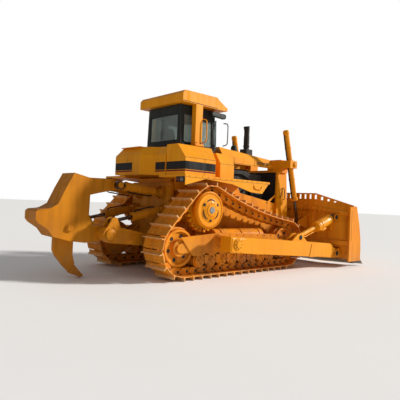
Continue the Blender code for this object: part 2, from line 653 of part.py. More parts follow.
for s in (1, -1):
    name = side_name("door", s)
    hinge = (DOOR_HINGE - 0.012, s * cab_half(DOOR_LOW, -0.012), DOOR_LOW)
    rear, front, top = DOOR_REAR + DOOR_FRAME, DOOR_HINGE - DOOR_FRAME, DOOR_HIGH - DOOR_FRAME
    door = solid(name, [side_panel(s, DOOR_REAR + DOOR_EDGE, DOOR_HINGE - DOOR_EDGE, DOOR_LOW + DOOR_EDGE,
                                   DOOR_HIGH - DOOR_EDGE, 0.0, DOOR_THICK)],
                 cuts=[side_panel(s, rear, front, DOOR_GLASS_LOW, top, -0.05, 0.16)],
                 pivot=hinge, colour=DARK, roughness=0.45)
    solid(name + "_glass", [side_panel(s, rear + GAP, front - GAP, DOOR_GLASS_LOW + GAP, top - GAP,
                                       PANE_INSET, PANE)],
          pivot=hinge, colour=GLASS, roughness=0.06, parent=door)

# ---- roll-over structure -----------------------------------------------------------------
canopy_side = [(-0.37, 0.012), (-0.37, 0.19), (-0.31, 0.26), (0.66, 0.28), (0.74, 0.22), (1.01, 0.08),
               (1.01, 0.02), (0.73, 0.012)]
rops = [plate_y([(x, CAB_HIGH + up) for x, up in canopy_side], -CANOPY_HALF, CANOPY_HALF)]
post_in = CAB_HALF_LOW + 0.015
for s in (1, -1):
    y0, y1 = span(s, post_in, CANOPY_HALF)
    rops.append(box(0.02, 0.22, y0, y1, FLOOR_Z + GAP, CAB_HIGH + 0.06))
    y0, y1 = span(s, post_in, CANOPY_HALF + 0.03)
    rops.append(box(0.01, 0.26, y0, y1, 2.80, 2.84))
solid("rops", rops, colour=PAINT, roughness=0.4)

# ---- blade and push arms -------------------------------------------------------------------
for s in (1, -1):
    y0, y1 = span(s, ARM_IN, ARM_OUT)
    profile = [(0.10, 0.58), (0.10, 0.90), (3.92, 0.64), (4.22, 0.51)]
    profile += arc(BLADE_PIN, 0.12, 70, -90, 8)
    profile += [(3.95, 0.27)]
    shapes = [plate_y(profile, y0, y1)]
    ear = [(2.20, 0.70), (2.50, 0.90)] + arc(TILT_BASE, 0.10, 110, 20, 4) + [(2.98, 0.66)]
    shapes += [plate_y(ear, e0, e1) for e0, e1 in ears(s, TILT_Y, 0.0605, 0.04)]
    shapes.append(pin_y(TILT_BASE, *span(s, TILT_Y - 0.07, TILT_Y + 0.07), TILT_PIN_R))
    knuckle = TONGUE_HALF
    solid(side_name("push_arm", s), shapes,
          cuts=[bore_y(ARM_PIVOT, *span(s, ARM_IN - 0.05, ARM_OUT - 0.05), ARM_PIN_R),
                pin_y(BLADE_PIN, *span(s, TILT_Y - 0.2, TILT_Y - knuckle), 0.3),
                pin_y(BLADE_PIN, *span(s, TILT_Y + knuckle, TILT_Y + 0.2), 0.3),
                bore_y(BLADE_PIN, *span(s, TILT_Y - 0.1, TILT_Y + 0.1), BLADE_PIN_R)],
          pivot=(ARM_PIVOT[0], s * TRACK_Y, ARM_PIVOT[1]), roughness=0.42)


def blade_ring(y):
    """Section of the moldboard at a distance from the middle."""
    out = max(0.0, abs(y) - WING_Y)
    dx, dz = WING_SLOPE * out, -WING_FALL * out
    front = [(4.38, 1.76, 1), (4.31, 1.45, 0.6), (4.29, 1.05, 0), (4.40, 0.60, 0), (4.66, 0.20, 0)]
    back = [(4.56, 0.16, 0), (4.40, 0.24, 0), (4.15, 0.62, 0), (4.17, 1.20, 0), (4.25, 1.58, 0.7),
            (4.30, 1.76, 1)]
    return [(x + dx, y, z + dz * w) for x, z, w in front + back]


ends = BLADE_HALF - 0.037
end_x, end_z = WING_SLOPE * (ends - WING_Y), -WING_FALL * (ends - WING_Y)
blade = [loft([blade_ring(y) for y in (-ends, -WING_Y, WING_Y, ends)])]
for s in (1, -1):
    y0, y1 = span(s, ends - 0.003, BLADE_HALF)
    end_plate = [(4.06, 0.16), (4.06, 1.76 + end_z), (4.40, 1.78 + end_z), (4.57, 1.15), (4.67, 0.72),
                 (4.70, 0.45), (4.69, 0.16)]
    blade.append(plate_y([(x + end_x, z) for x, z in end_plate], y0, y1))
    for y0, y1 in ears(s, TILT_Y, TONGUE_HALF + SIDE_GAP, 0.037):
        blade.append(plate_y(arc(BLADE_PIN, 0.10, 100, 260, 4) + [(4.70, 0.24), (4.52, 0.52)], y0, y1))
    blade.append(pin_y(BLADE_PIN, *span(s, TILT_Y - 0.12, TILT_Y + 0.12), BLADE_PIN_R))
    for y0, y1 in ears(s, TILT_Y, TILT_EYE_HALF + EAR_GAP, 0.035):
        blade.append(plate_y(arc(TILT_EYE, 0.08, 90, 270, 4) + [(4.44, 1.20), (4.44, 1.44)], y0, y1))
    for y0, y1 in ears(s, LIFT_Y, LIFT_EYE_HALF + EAR_GAP, 0.03):
        blade.append(plate_y(arc(LIFT_EYE, 0.075, 100, 270, 4) + [(4.20, 0.96), (4.20, 1.34)], y0, y1))
solid("blade", blade, pivot=(BLADE_PIN[0], 0.0, BLADE_PIN[1]), roughness=0.45)


EDGE_END = ends - 0.005


def edge_ring(y):
    """Section of the cutting edge, bolted on the lower front of the moldboard."""
    ring = blade_ring(y)
    a, b = np.array(ring[3])[[0, 2]], np.array(ring[4])[[0, 2]]
    ahead = np.array((a[1] - b[1], b[0] - a[0])) / np.linalg.norm(a - b)
    upper = b + (a - b) * 0.25 + ahead * 2 * GAP
    reach = 0.13 if abs(y) < EDGE_END - 0.165 else 0.26
    tip = np.array((b[0] + reach, 0.05))
    return [(p[0], y, p[1]) for p in (upper, upper + ahead * 0.04, tip + (0.012, 0.012), tip)]


edge_y = [-EDGE_END, -EDGE_END + 0.16, -EDGE_END + 0.17, -WING_Y]
edge_y += [-y for y in edge_y[::-1]]
solid("cutting_edge", [loft([edge_ring(y) for y in edge_y])], pivot=(BLADE_PIN[0], 0.0, BLADE_PIN[1]),
      colour=STEEL, roughness=0.5, metallic=0.6)

SPILL_TOP = 1.96


def spill_height(y):
    """Top of the spill guard, which falls towards the wings."""
    t = max(0.0, (abs(y) - WING_Y) / (ends - WING_Y))
    return SPILL_TOP + t * (1.795 + end_z - SPILL_TOP)


def spill_ring(y):
    """Section of the spill guard that stands on the moldboard's top edge."""
    x, _, z = blade_ring(y)[10]
    top = spill_height(y)
    return [(x + 0.01, y, z + GAP), (x + 0.04, y, z + GAP), (x + 0.04, y, top), (x + 0.01, y, top)]


SLOT_PITCH = 0.165
slots = []
for k in range(-10, 11):
    y = k * SLOT_PITCH
    low = blade_ring(y)[10][2] + 0.035
    high = min(spill_height(y - 0.03), spill_height(y + 0.03)) - 0.035
    if high - low > 0.03:
        slots.append(box(4.2, 4.9, y - 0.032, y + 0.032, low, high))
solid("spill_guard", [loft([spill_ring(y) for y in (-EDGE_END, -WING_Y, WING_Y, EDGE_END)])], cuts=slots,
      pivot=(BLADE_PIN[0], 0.0, BLADE_PIN[1]), roughness=0.45)


# ---- cylinders ---------------------------------------------------------------------------
def point_3d(p, s, y):
    """A side-profile point placed on side s."""
    return (p[0], s * y, p[1])


def tube_shapes(s, y, base, eye, sections, rod_radius, bore_depth):
    """Sections of a cylinder tube from its base pin towards the eye, and the cutter of its bore."""
    def along(distance):
        return point_3d(between(base, eye, distance), s, y)

    mouth = sections[-1][1]
    bore = bar(along(mouth + 0.05), along(mouth - bore_depth), rod_radius + PIN_GAP)
    return [bar(along(a), along(b), r) for a, b, r in sections], bore


def piston_rod(name, s, y, base, eye, inner_end, radius, eye_half, eye_radius, parent):
    """Rod from inside the tube to its eye."""
    return solid(name, [bar(point_3d(between(base, eye, inner_end), s, y), point_3d(eye, s, y), radius),
                        pin_y(eye, *span(s, y - eye_half, y + eye_half), eye_radius)],
                 pivot=(eye[0], s * y, eye[1]), colour=STEEL, roughness=0.2, metallic=1.0, smooth=35,
                 parent=parent)


for s in (1, -1):
    # The lift cylinder hangs in its trunnion, so its tube also runs above it.
    shapes, bore = tube_shapes(s, LIFT_Y, LIFT_TOP, LIFT_EYE,
                               [(-0.88, 0.96, 0.075), (-0.12, 0.12, 0.095), (0.90, 0.98, 0.09)],
                               LIFT_ROD_R, 1.70)
    shapes.append(pin_y(LIFT_TOP, *span(s, LIFT_Y - TRUNNION_HALF, LIFT_Y + TRUNNION_HALF), LIFT_PIN_R))
    tube = solid(side_name("lift_barrel", s), shapes, cuts=[bore], pivot=point_3d(LIFT_TOP, s, LIFT_Y),
                 roughness=0.4, smooth=35)
    piston_rod(side_name("lift_rod", s), s, LIFT_Y, LIFT_TOP, LIFT_EYE, -0.10, LIFT_ROD_R, LIFT_EYE_HALF,
               0.062, tube)

    shapes, bore = tube_shapes(s, TILT_Y, TILT_BASE, TILT_EYE,
                               [(0.0, 0.98, 0.054), (0.92, 1.50, 0.125), (1.46, 1.56, 0.10)],
                               TILT_ROD_R, 0.55)
    shapes.append(pin_y(TILT_BASE, *span(s, TILT_Y - 0.055, TILT_Y + 0.055), 0.085))
    base_bore = bore_y(TILT_BASE, *span(s, TILT_Y - 0.075, TILT_Y + 0.075), TILT_PIN_R)
    tube = solid(side_name("tilt_barrel", s), shapes, cuts=[bore, base_bore],
                 pivot=point_3d(TILT_BASE, s, TILT_Y), roughness=0.4, smooth=35,
                 parent=bpy.data.objects[side_name("push_arm", s)])
    piston_rod(side_name("tilt_rod", s), s, TILT_Y, TILT_BASE, TILT_EYE, 1.20, TILT_ROD_R, TILT_EYE_HALF,
               0.07, tube)

# ---- ripper ------------------------------------------------------------------------------
mount = [box(CASE_REAR - 0.09, CASE_REAR - GAP, -0.68, 0.68, 0.60, 1.96)]
mount_cuts = []
for s in (1, -1):
    for base, radius, middle, half, thick, low, high in (
            (LINK_PIVOT, 0.13, (LINK_IN + LINK_OUT) / 2, (LINK_OUT - LINK_IN) / 2 + SIDE_GAP, 0.044,
             0.60, 1.02),
            (RIP_LIFT_BASE, 0.09, RIP_LIFT_Y, RIP_BOSS_HALF + SIDE_GAP, 0.03, 1.20, 1.52),
            (RIP_TILT_BASE, 0.09, RIP_TILT_Y, RIP_BOSS_HALF + SIDE_GAP, 0.03, 1.56, 1.92)):
        ear = arc(base, radius, 90, 270, 4) + [(CASE_REAR - 0.05, low), (CASE_REAR - 0.05, high)]
        mount += [plate_y(ear, y0, y1) for y0, y1 in ears(s, middle, half, thick)]
    mount.append(pin_y(LINK_PIVOT, *span(s, LINK_IN - 0.03, LINK_OUT + 0.03), LINK_PIN_R))
    mount_cuts.append(bore_y(RIP_LIFT_BASE, *span(s, RIP_LIFT_Y - 0.12, RIP_LIFT_Y + 0.12), RIP_PIN_R))
    mount_cuts.append(bore_y(RIP_TILT_BASE, *span(s, RIP_TILT_Y - 0.12, RIP_TILT_Y + 0.12), RIP_PIN_R))
solid("ripper_mount", mount, cuts=mount_cuts, roughness=0.5)

link_shapes = [box(-1.30, -1.06, -0.50, 0.50, 0.66, 0.84)]
link_cuts = []
for s in (1, -1):
    y0, y1 = span(s, LINK_IN, LINK_OUT)
    link_shapes.append(link_plate(LINK_PIN, LINK_PIVOT, 0.16, 0.12, y0, y1))
    link_cuts.append(bore_y(LINK_PIVOT, *span(s, LINK_IN - 0.05, LINK_OUT + 0.05), LINK_PIN_R))
    link_cuts.append(bore_y(LINK_PIN, *span(s, LINK_IN - 0.05, LINK_OUT + 0.05), LINK_PIN_R))
    eye_half = RIP_LIFT_EYE_HALF + EAR_GAP
    # The hollow under the rod's eye takes it at every angle of the link.
    link_cuts.append(pin_y((RIP_LIFT_EYE[0] - 0.03, RIP_LIFT_EYE[1] - 0.03),
                           *span(s, RIP_LIFT_Y - eye_half, RIP_LIFT_Y + eye_half), 0.115))
    ear = [(-2.02, 0.95)] + arc(RIP_LIFT_EYE, 0.085, 180, 0, 4) + [(-1.62, 0.85), (-1.80, 0.80)]
    link_shapes += [plate_y(ear, y0, y1)
                    for y0, y1 in ears(s, RIP_LIFT_Y, eye_half, 0.038)]
solid("ripper_link", link_shapes, cuts=link_cuts, pivot=(LINK_PIVOT[0], 0.0, LINK_PIVOT[1]), roughness=0.42)
link = bpy.data.objects["ripper_link"]

solid("ripper_pin", [pin_y(LINK_PIN, -LINK_OUT - 0.012, LINK_OUT + 0.012, LINK_PIN_R)],
      pivot=(LINK_PIN[0], 0.0, LINK_PIN[1]), colour=STEEL, roughness=0.3, metallic=1.0, smooth=35,
      parent=link)

carrier_side = [(-2.50, 2.02), (-2.18, 1.95), (-1.70, 1.96)]
carrier_side += arc(RIP_TILT_EYE, 0.10, 80, -90, 4)
carrier_side += [(-1.95, 1.67), (-2.16, 1.62), (-2.17, 1.21), (-2.06, 1.02)]
carrier_side += arc(LINK_PIN, 0.15, 80, -100, 8)
carrier_side += [(-2.23, 0.70), (-2.54, 0.74), (-2.87, 0.83), (-2.97, 0.96), (-3.15, 1.08)]
carrier_side += [(-3.20, 1.14), (-3.20, 1.28), (-3.16, 1.32), (-2.95, 1.34), (-2.80, 1.42), (-2.66, 1.72)]
carrier = [plate_y(carrier_side, -CARRIER_HALF, CARRIER_HALF),
           pin_y(LINK_PIN, -LINK_IN + SIDE_GAP, LINK_IN - SIDE_GAP, 0.13),
           pin_y(RIP_TILT_EYE, -RIP_TILT_Y + RIP_TILT_EYE_HALF + EAR_GAP,
                 RIP_TILT_Y - RIP_TILT_EYE_HALF - EAR_GAP, 0.085)]
solid("ripper_carrier", carrier,
      cuts=[bore_y(LINK_PIN, -0.6, 0.6, LINK_PIN_R),
            box(SHANK_REAR - GAP, SHANK_FRONT + GAP, -SHANK_HALF - GAP, SHANK_HALF + GAP, 0.3,
                SHANK_TOP + GAP)],
      pivot=(LINK_PIN[0], 0.0, LINK_PIN[1]), roughness=0.4, parent=link)
shank_side = [(SHANK_REAR, SHANK_TOP), (SHANK_FRONT, SHANK_TOP), (SHANK_FRONT, 0.45), (-2.33, 0.27),
              (-2.13, 0.04), (-2.19, 0.02), (-2.42, 0.13), (-2.56, 0.27), (-2.70, 0.44), (SHANK_REAR, 0.56)]
solid("ripper_shank", [plate_y(shank_side, -SHANK_HALF, SHANK_HALF)], pivot=(LINK_PIN[0], 0.0, LINK_PIN[1]),
      roughness=0.45, parent=bpy.data.objects["ripper_carrier"])


def paired_barrels(name, y, base, eye, sections, rod_radius, bore_depth):
    """Two cylinder tubes on one cross pin at their base."""
    shapes = [pin_y(base, -y - 0.10, y + 0.10, RIP_PIN_R)]
    cuts = []
    for s in (1, -1):
        tube, bore = tube_shapes(s, y, base, eye, sections, rod_radius, bore_depth)
        shapes += tube
        shapes.append(pin_y(base, *span(s, y - RIP_BOSS_HALF, y + RIP_BOSS_HALF), 0.075))
        cuts.append(bore)
    return solid(name, shapes, cuts=cuts, pivot=(base[0], 0.0, base[1]), roughness=0.4, smooth=35)


lift_pair = paired_barrels("ripper_lift_barrels", RIP_LIFT_Y, RIP_LIFT_BASE, RIP_LIFT_EYE,
                           [(0.0, 0.20, 0.048), (0.125, 0.77, 0.085)], RIP_LIFT_ROD_R, 0.66)
tilt_pair = paired_barrels("ripper_tilt_barrels", RIP_TILT_Y, RIP_TILT_BASE, RIP_TILT_EYE,
                           [(0.0, 0.20, 0.048), (0.125, 0.88, 0.085)], RIP_TILT_ROD_R, 0.74)
for s in (1, -1):
    piston_rod(side_name("ripper_lift_rod", s), s, RIP_LIFT_Y, RIP_LIFT_BASE, RIP_LIFT_EYE, 0.37,
               RIP_LIFT_ROD_R, RIP_LIFT_EYE_HALF, 0.06, lift_pair)
    piston_rod(side_name("ripper_tilt_rod", s), s, RIP_TILT_Y, RIP_TILT_BASE, RIP_TILT_EYE, 0.16,
               RIP_TILT_ROD_R, RIP_TILT_EYE_HALF, 0.085, tilt_pair)
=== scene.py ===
"""Looks of a track-type bulldozer: its finishes, and the fine pieces that the CAD leaves out.

Every position is written from the sprocket axle and the ground, as the machine's own
drawing has it, and put() moves the finished points into the shared frame.
"""

import math

import bmesh
import bpy
import numpy as np
from mathutils import Matrix, Vector


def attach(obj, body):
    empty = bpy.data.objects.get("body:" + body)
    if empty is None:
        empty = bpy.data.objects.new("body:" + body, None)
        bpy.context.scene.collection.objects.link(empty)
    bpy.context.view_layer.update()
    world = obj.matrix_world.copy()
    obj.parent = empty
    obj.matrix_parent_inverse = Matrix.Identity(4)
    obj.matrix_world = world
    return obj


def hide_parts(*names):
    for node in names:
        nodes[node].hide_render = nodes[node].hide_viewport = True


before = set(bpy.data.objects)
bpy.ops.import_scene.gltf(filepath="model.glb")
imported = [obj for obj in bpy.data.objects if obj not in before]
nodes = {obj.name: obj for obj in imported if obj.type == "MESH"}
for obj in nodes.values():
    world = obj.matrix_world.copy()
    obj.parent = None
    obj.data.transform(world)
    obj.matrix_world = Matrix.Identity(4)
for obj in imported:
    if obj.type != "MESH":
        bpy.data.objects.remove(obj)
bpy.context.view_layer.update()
AXLE_X = -1.05             # the sprocket axle in the shared frame

# ---- sizes that the fine pieces share ----
TRACK_Y = 1.125
SHOE_HALF = 0.305
SHOE_PITCH = 0.24
CHAIN_BELOW = 0.075
SPROCKET_Z, SPROCKET_R = 1.41, 0.44
IDLER_Z, IDLER_R = 0.64, 0.475
FRONT_IDLER_X, REAR_IDLER_X = 2.75, -0.72
TRACK_SAG = 0.11
TILT_Y, LIFT_Y = 1.74, 0.92
LIFT_TOP, LIFT_EYE = (3.37, 2.67), (3.81, 1.13)
TILT_BASE, TILT_EYE = (2.62, 0.82), (4.27, 1.32)
ARM_PIVOT, ARM_PIN, ARM_FACE = (0.30, 0.74), (4.30, 0.36), 1.880
WING_FROM, WING_AHEAD, WING_DOWN = 1.15, 0.371, 0.155     # where the blade's wings start, and their slopes
BLADE_HALF = 2.157
TANK_SIDE, DECK_SIDE, GUARD_SIDE, HOOD_SIDE = 1.400, 1.455, 0.680, 0.500


# ---- node groups that several finishes share ----
def new_group(name, inputs, outputs):
    """Empty node group with named float inputs and outputs."""
    group = bpy.data.node_groups.new(name, "ShaderNodeTree")
    for label, value in inputs:
        socket = group.interface.new_socket(label, in_out="INPUT", socket_type="NodeSocketFloat")
        socket.default_value = value
    for label in outputs:
        group.interface.new_socket(label, in_out="OUTPUT", socket_type="NodeSocketFloat")
    start, end = group.nodes.new("NodeGroupInput"), group.nodes.new("NodeGroupOutput")
    return group, start, end


def math_node(tree, operation, a, b, clamp=False):
    """Math node with two values or sockets; returns its output."""
    node = tree.nodes.new("ShaderNodeMath")
    node.operation, node.use_clamp = operation, clamp
    for socket, value in zip(node.inputs, (a, b)):
        if isinstance(value, (int, float)):
            socket.default_value = value
        else:
            tree.links.new(value, socket)
    return node.outputs[0]


def noise_node(tree, vector, scale, detail=4.0, rough=0.55):
    """Noise texture on a vector; scale is a number or a socket."""
    node = tree.nodes.new("ShaderNodeTexNoise")
    node.inputs["Detail"].default_value, node.inputs["Roughness"].default_value = detail, rough
    tree.links.new(vector, node.inputs["Vector"])
    if isinstance(scale, (int, float)):
        node.inputs["Scale"].default_value = scale
    else:
        tree.links.new(scale, node.inputs["Scale"])
    return node.outputs["Fac"]


def ramp(tree, value, low, high, start=0.0, end=1.0):
    """Straight step from start to end as the value goes from low to high."""
    node = tree.nodes.new("ShaderNodeMapRange")
    tree.links.new(value, node.inputs["Value"])
    for label, number in (("From Min", low), ("From Max", high), ("To Min", start), ("To Max", end)):
        if isinstance(number, (int, float)):
            node.inputs[label].default_value = number
        else:
            tree.links.new(number, node.inputs[label])
    return node.outputs["Result"]


def build_dust():
    """Dust lies thicker towards the ground and on upward faces, broken up by noise."""
    group, start, end = new_group("settled_dust", (("Height", 1.0), ("Amount", 0.5), ("Scale", 2.0)),
                                  ("Mask", "Grain"))
    spot = group.nodes.new("ShaderNodeTexCoord").outputs["Object"]
    parts = group.nodes.new("ShaderNodeSeparateXYZ")
    group.links.new(spot, parts.inputs[0])
    facing = group.nodes.new("ShaderNodeSeparateXYZ")
    group.links.new(group.nodes.new("ShaderNodeNewGeometry").outputs["Normal"], facing.inputs[0])
    low = ramp(group, parts.outputs["Z"], start.outputs["Height"], 0.0)
    top = ramp(group, facing.outputs["Z"], 0.35, 1.0, 0.0, 0.5)
    cloud = ramp(group, noise_node(group, spot, start.outputs["Scale"], 6.0, 0.62), 0.38, 0.68)
    mask = math_node(group, "MULTIPLY", math_node(group, "ADD", low, top), cloud)
    mask = math_node(group, "MULTIPLY", mask, start.outputs["Amount"], clamp=True)
    group.links.new(mask, end.inputs["Mask"])
    group.links.new(noise_node(group, spot, 55.0, 3.0), end.inputs["Grain"])
    return group


def build_streaks():
    """Rain streaks: noise drawn out down the faces, and small chips where it peaks."""
    group, start, end = new_group("streaks_and_chips", (("Scale", 3.0), ("Chips", 0.70)), ("Streak", "Chip"))
    spot = group.nodes.new("ShaderNodeTexCoord").outputs["Object"]
    draw = group.nodes.new("ShaderNodeMapping")
    draw.inputs["Scale"].default_value = (3.0, 3.0, 0.25)
    group.links.new(spot, draw.inputs["Vector"])
    streak = ramp(group, noise_node(group, draw.outputs[0], start.outputs["Scale"], 5.0), 0.45, 0.75)
    fine = noise_node(group, spot, 34.0, 2.0, 0.7)
    chip = ramp(group, fine, start.outputs["Chips"], 0.80)
    group.links.new(streak, end.inputs["Streak"])
    group.links.new(chip, end.inputs["Chip"])
    return group


DUST, STREAKS = build_dust(), build_streaks()


def use_group(tree, group, **values):
    """Group node with its inputs set."""
    node = tree.nodes.new("ShaderNodeGroup")
    node.node_tree = group
    for label, value in values.items():
        node.inputs[label].default_value = value
    return node


def start_material(name, metallic=0.0):
    """New material: itself, its node tree, its shader and its object coordinates."""
    material = bpy.data.materials.new(name)
    material.use_nodes = True
    tree = material.node_tree
    shader = tree.nodes["Principled BSDF"]
    shader.inputs["Metallic"].default_value = metallic
    return material, tree, shader, tree.nodes.new("ShaderNodeTexCoord").outputs["Object"]


def add_relief(tree, shader, height, strength, distance):
    """Bump from a height into the shader's normal."""
    relief = tree.nodes.new("ShaderNodeBump")
    relief.inputs["Strength"].default_value = strength
    relief.inputs["Distance"].default_value = distance
    tree.links.new(height, relief.inputs["Height"])
    tree.links.new(relief.outputs["Normal"], shader.inputs["Normal"])


def crossed_waves(tree, spot, waves, distortion=0.0):
    """Product of two banded waves, each given as (axis, scale)."""
    bands = []
    for axis, scale in waves:
        wave = tree.nodes.new("ShaderNodeTexWave")
        wave.bands_direction = axis
        wave.inputs["Scale"].default_value = scale
        wave.inputs["Distortion"].default_value = distortion
        tree.links.new(spot, wave.inputs["Vector"])
        bands.append(wave.outputs["Fac"])
    return math_node(tree, "MULTIPLY", *bands)


def mix_colour(tree, mask, first, second):
    """Colour from first to second by the mask; each is a colour or a socket."""
    node = tree.nodes.new("ShaderNodeMix")
    node.data_type = "RGBA"
    tree.links.new(mask, node.inputs["Factor"])
    for socket, value in ((node.inputs[6], first), (node.inputs[7], second)):
        if isinstance(value, tuple):
            socket.default_value = (*value, 1.0)
        else:
            tree.links.new(value, socket)
    return node.outputs[2]


def finish(name, colour, shade, dust=(0.34, 0.24, 0.14), roughness=(0.45, 0.80), metallic=0.0,
           dust_height=0.9, dust_amount=0.5, streak=0.35, chips=0.72, bare=(0.10, 0.07, 0.05), bump=0.15,
           grain=160.0, coat=0.0, worn=None, specular=0.14):
    """Painted or bare metal: two tones of the colour, streaks, chips, dust, and grain in the bump.

    A piece's own wear attribute, where worn gives a colour, shows that colour at 1.
    """
    material, tree, shader, spot = start_material(name, metallic)
    shader.inputs["Specular IOR Level"].default_value = specular
    shader.inputs["Coat Weight"].default_value = coat
    shader.inputs["Coat Roughness"].default_value = 0.12
    tone = ramp(tree, noise_node(tree, spot, 1.3, 5.0), 0.35, 0.70)
    base = mix_colour(tree, tone, colour, shade)
    marks = use_group(tree, STREAKS, Scale=3.0, Chips=chips)
    stained = tuple(0.45 * c for c in shade)
    base = mix_colour(tree, math_node(tree, "MULTIPLY", marks.outputs["Streak"], streak), base, stained)
    base = mix_colour(tree, marks.outputs["Chip"], base, bare)
    lay = use_group(tree, DUST, Height=dust_height, Amount=dust_amount, Scale=2.2)
    base = mix_colour(tree, lay.outputs["Mask"], base, dust)
    if worn:
        attribute = tree.nodes.new("ShaderNodeAttribute")
        attribute.attribute_name = "wear"
        rubbed = math_node(tree, "MULTIPLY", attribute.outputs["Fac"],
                           ramp(tree, noise_node(tree, spot, 18.0, 4.0), 0.25, 0.60), clamp=True)
        base = mix_colour(tree, rubbed, base, worn)
    tree.links.new(base, shader.inputs["Base Color"])
    rough = ramp(tree, math_node(tree, "MAXIMUM", lay.outputs["Mask"], marks.outputs["Streak"]), 0.0, 1.0,
                 *roughness)
    tree.links.new(rough, shader.inputs["Roughness"])
    height = math_node(tree, "ADD", noise_node(tree, spot, grain, 3.0),
                       math_node(tree, "MULTIPLY", lay.outputs["Grain"], lay.outputs["Mask"]))
    add_relief(tree, shader, height, bump, 0.004)
    material.diffuse_color = (*colour, 1.0)
    return material


YELLOW = (0.84, 0.325, 0.003)
YELLOW_SHADE = (0.79, 0.280, 0.003)
yellow_paint = finish("yellow_paint", YELLOW, YELLOW_SHADE, dust_amount=0.20, streak=0.15, chips=0.76, coat=0.06)
# The ripper's yellow is darker than the body's: painted shade for the machine's shadow falling over the ripper.
ripper_paint_with_painted_shade = finish("ripper_paint_with_painted_shade", (0.60, 0.215, 0.004), (0.48, 0.160, 0.004), dust_amount=0.35, streak=0.4,
                      chips=0.73, dust_height=1.2)
blade_paint = finish("blade_paint", (0.84, 0.290, 0.004), (0.74, 0.225, 0.004), dust_amount=0.40, streak=0.4,
                     chips=0.71, dust_height=0.9, bump=0.25)
track_paint = finish("track_paint", (0.84, 0.285, 0.004), (0.66, 0.200, 0.004), dust=(0.26, 0.14, 0.06),
                     dust_height=1.3, dust_amount=0.6, streak=0.5, chips=0.68, bump=0.5, grain=60.0,
                     roughness=(0.55, 0.85), worn=(0.72, 0.46, 0.22))
frame_paint = finish("track_frame_paint", (0.84, 0.300, 0.004), (0.68, 0.21, 0.004), dust=(0.22, 0.14, 0.08),
                     dust_height=1.1, dust_amount=0.7, streak=0.5, chips=0.70, bump=0.35)
cab_paint = finish("cab_trim_paint", (0.030, 0.034, 0.030), (0.018, 0.020, 0.018), dust=(0.10, 0.09, 0.07),
                   dust_amount=0.3, streak=0.3, roughness=(0.40, 0.70), bump=0.1)
# Dark cast metal; the same finish is also painted shade where it fills the idler openings and the hood vents.
dark_cast = finish("dark_cast", (0.045, 0.040, 0.034), (0.022, 0.020, 0.018), dust=(0.16, 0.11, 0.07),
                   dust_amount=0.6, streak=0.5, roughness=(0.55, 0.85), bump=0.6, grain=90.0)
black_stripe = finish("black_stripe", (0.016, 0.015, 0.014), (0.010, 0.010, 0.010), dust=(0.10, 0.08, 0.06),
                      dust_amount=0.2, streak=0.2, roughness=(0.28, 0.6), bump=0.05, chips=0.80)
red_stripe = finish("red_stripe", (0.22, 0.022, 0.012), (0.15, 0.015, 0.010), dust_amount=0.2, streak=0.2,
                    roughness=(0.30, 0.6), bump=0.05, chips=0.80)
chrome_rod = finish("chrome_rod", (0.62, 0.62, 0.60), (0.50, 0.50, 0.48), metallic=1.0, dust_amount=0.15,
                    streak=0.10, roughness=(0.14, 0.4), bump=0.03, grain=300.0, chips=0.82)
edge_steel = finish("edge_steel", (0.30, 0.27, 0.23), (0.20, 0.17, 0.14), metallic=0.7, dust_amount=0.7,
                    streak=0.4, roughness=(0.38, 0.75), bump=0.5, grain=70.0)
rubber = finish("hose_rubber", (0.020, 0.020, 0.020), (0.012, 0.012, 0.012), dust=(0.12, 0.09, 0.06),
                dust_amount=0.4, streak=0.3, roughness=(0.55, 0.8), bump=0.2, grain=400.0)
grey_rail = finish("grey_rail", (0.32, 0.33, 0.33), (0.24, 0.25, 0.25), dust_amount=0.2, streak=0.2,
                   roughness=(0.35, 0.6), bump=0.05)


def glass_finish(name, colour, wipe=0.45):
    """Tinted glass with a film of dust towards its lower edge."""
    material, tree, shader, _ = start_material(name)
    shader.inputs["Transmission Weight"].default_value = 0.82
    shader.inputs["IOR"].default_value = 1.45
    lay = use_group(tree, DUST, Height=5.0, Amount=wipe, Scale=4.0)
    tree.links.new(mix_colour(tree, lay.outputs["Mask"], colour, (0.42, 0.45, 0.40)), shader.inputs["Base Color"])
    tree.links.new(ramp(tree, lay.outputs["Mask"], 0.0, 1.0, 0.03, 0.35), shader.inputs["Roughness"])
    return material


cab_glass = glass_finish("cab_glass", (0.62, 0.74, 0.70))
lamp_glass = glass_finish("lamp_glass", (0.80, 0.82, 0.78), 0.1)
lamp_red = glass_finish("lamp_red_glass", (0.60, 0.05, 0.02), 0.1)


def seat_cloth_finish():
    """Ribbed woven cloth: two fine waves at right angles in colour and bump."""
    material, tree, shader, spot = start_material("seat_cloth")
    shader.inputs["Sheen Weight"].default_value = 0.3
    shader.inputs["Sheen Roughness"].default_value = 0.5
    shader.inputs["Roughness"].default_value = 0.9
    weave = crossed_waves(tree, spot, (("X", 190.0), ("Y", 190.0)), 0.4)
    tone = math_node(tree, "MULTIPLY", weave, noise_node(tree, spot, 9.0))
    tree.links.new(mix_colour(tree, tone, (0.035, 0.036, 0.038), (0.12, 0.12, 0.12)), shader.inputs["Base Color"])
    add_relief(tree, shader, weave, 0.5, 0.001)
    return material


def grille_finish():
    """Dark mesh of the radiator core: fine upright and level fins in colour and bump."""
    material, tree, shader, spot = start_material("radiator_fins", 0.5)
    fins = crossed_waves(tree, spot, (("Y", 60.0), ("Z", 22.0)))
    tree.links.new(mix_colour(tree, fins, (0.010, 0.010, 0.010), (0.07, 0.065, 0.06)), shader.inputs["Base Color"])
    tree.links.new(ramp(tree, fins, 0.0, 1.0, 0.7, 0.45), shader.inputs["Roughness"])
    add_relief(tree, shader, fins, 0.8, 0.004)
    return material


seat_cloth = seat_cloth_finish()
radiator_fins = grille_finish()

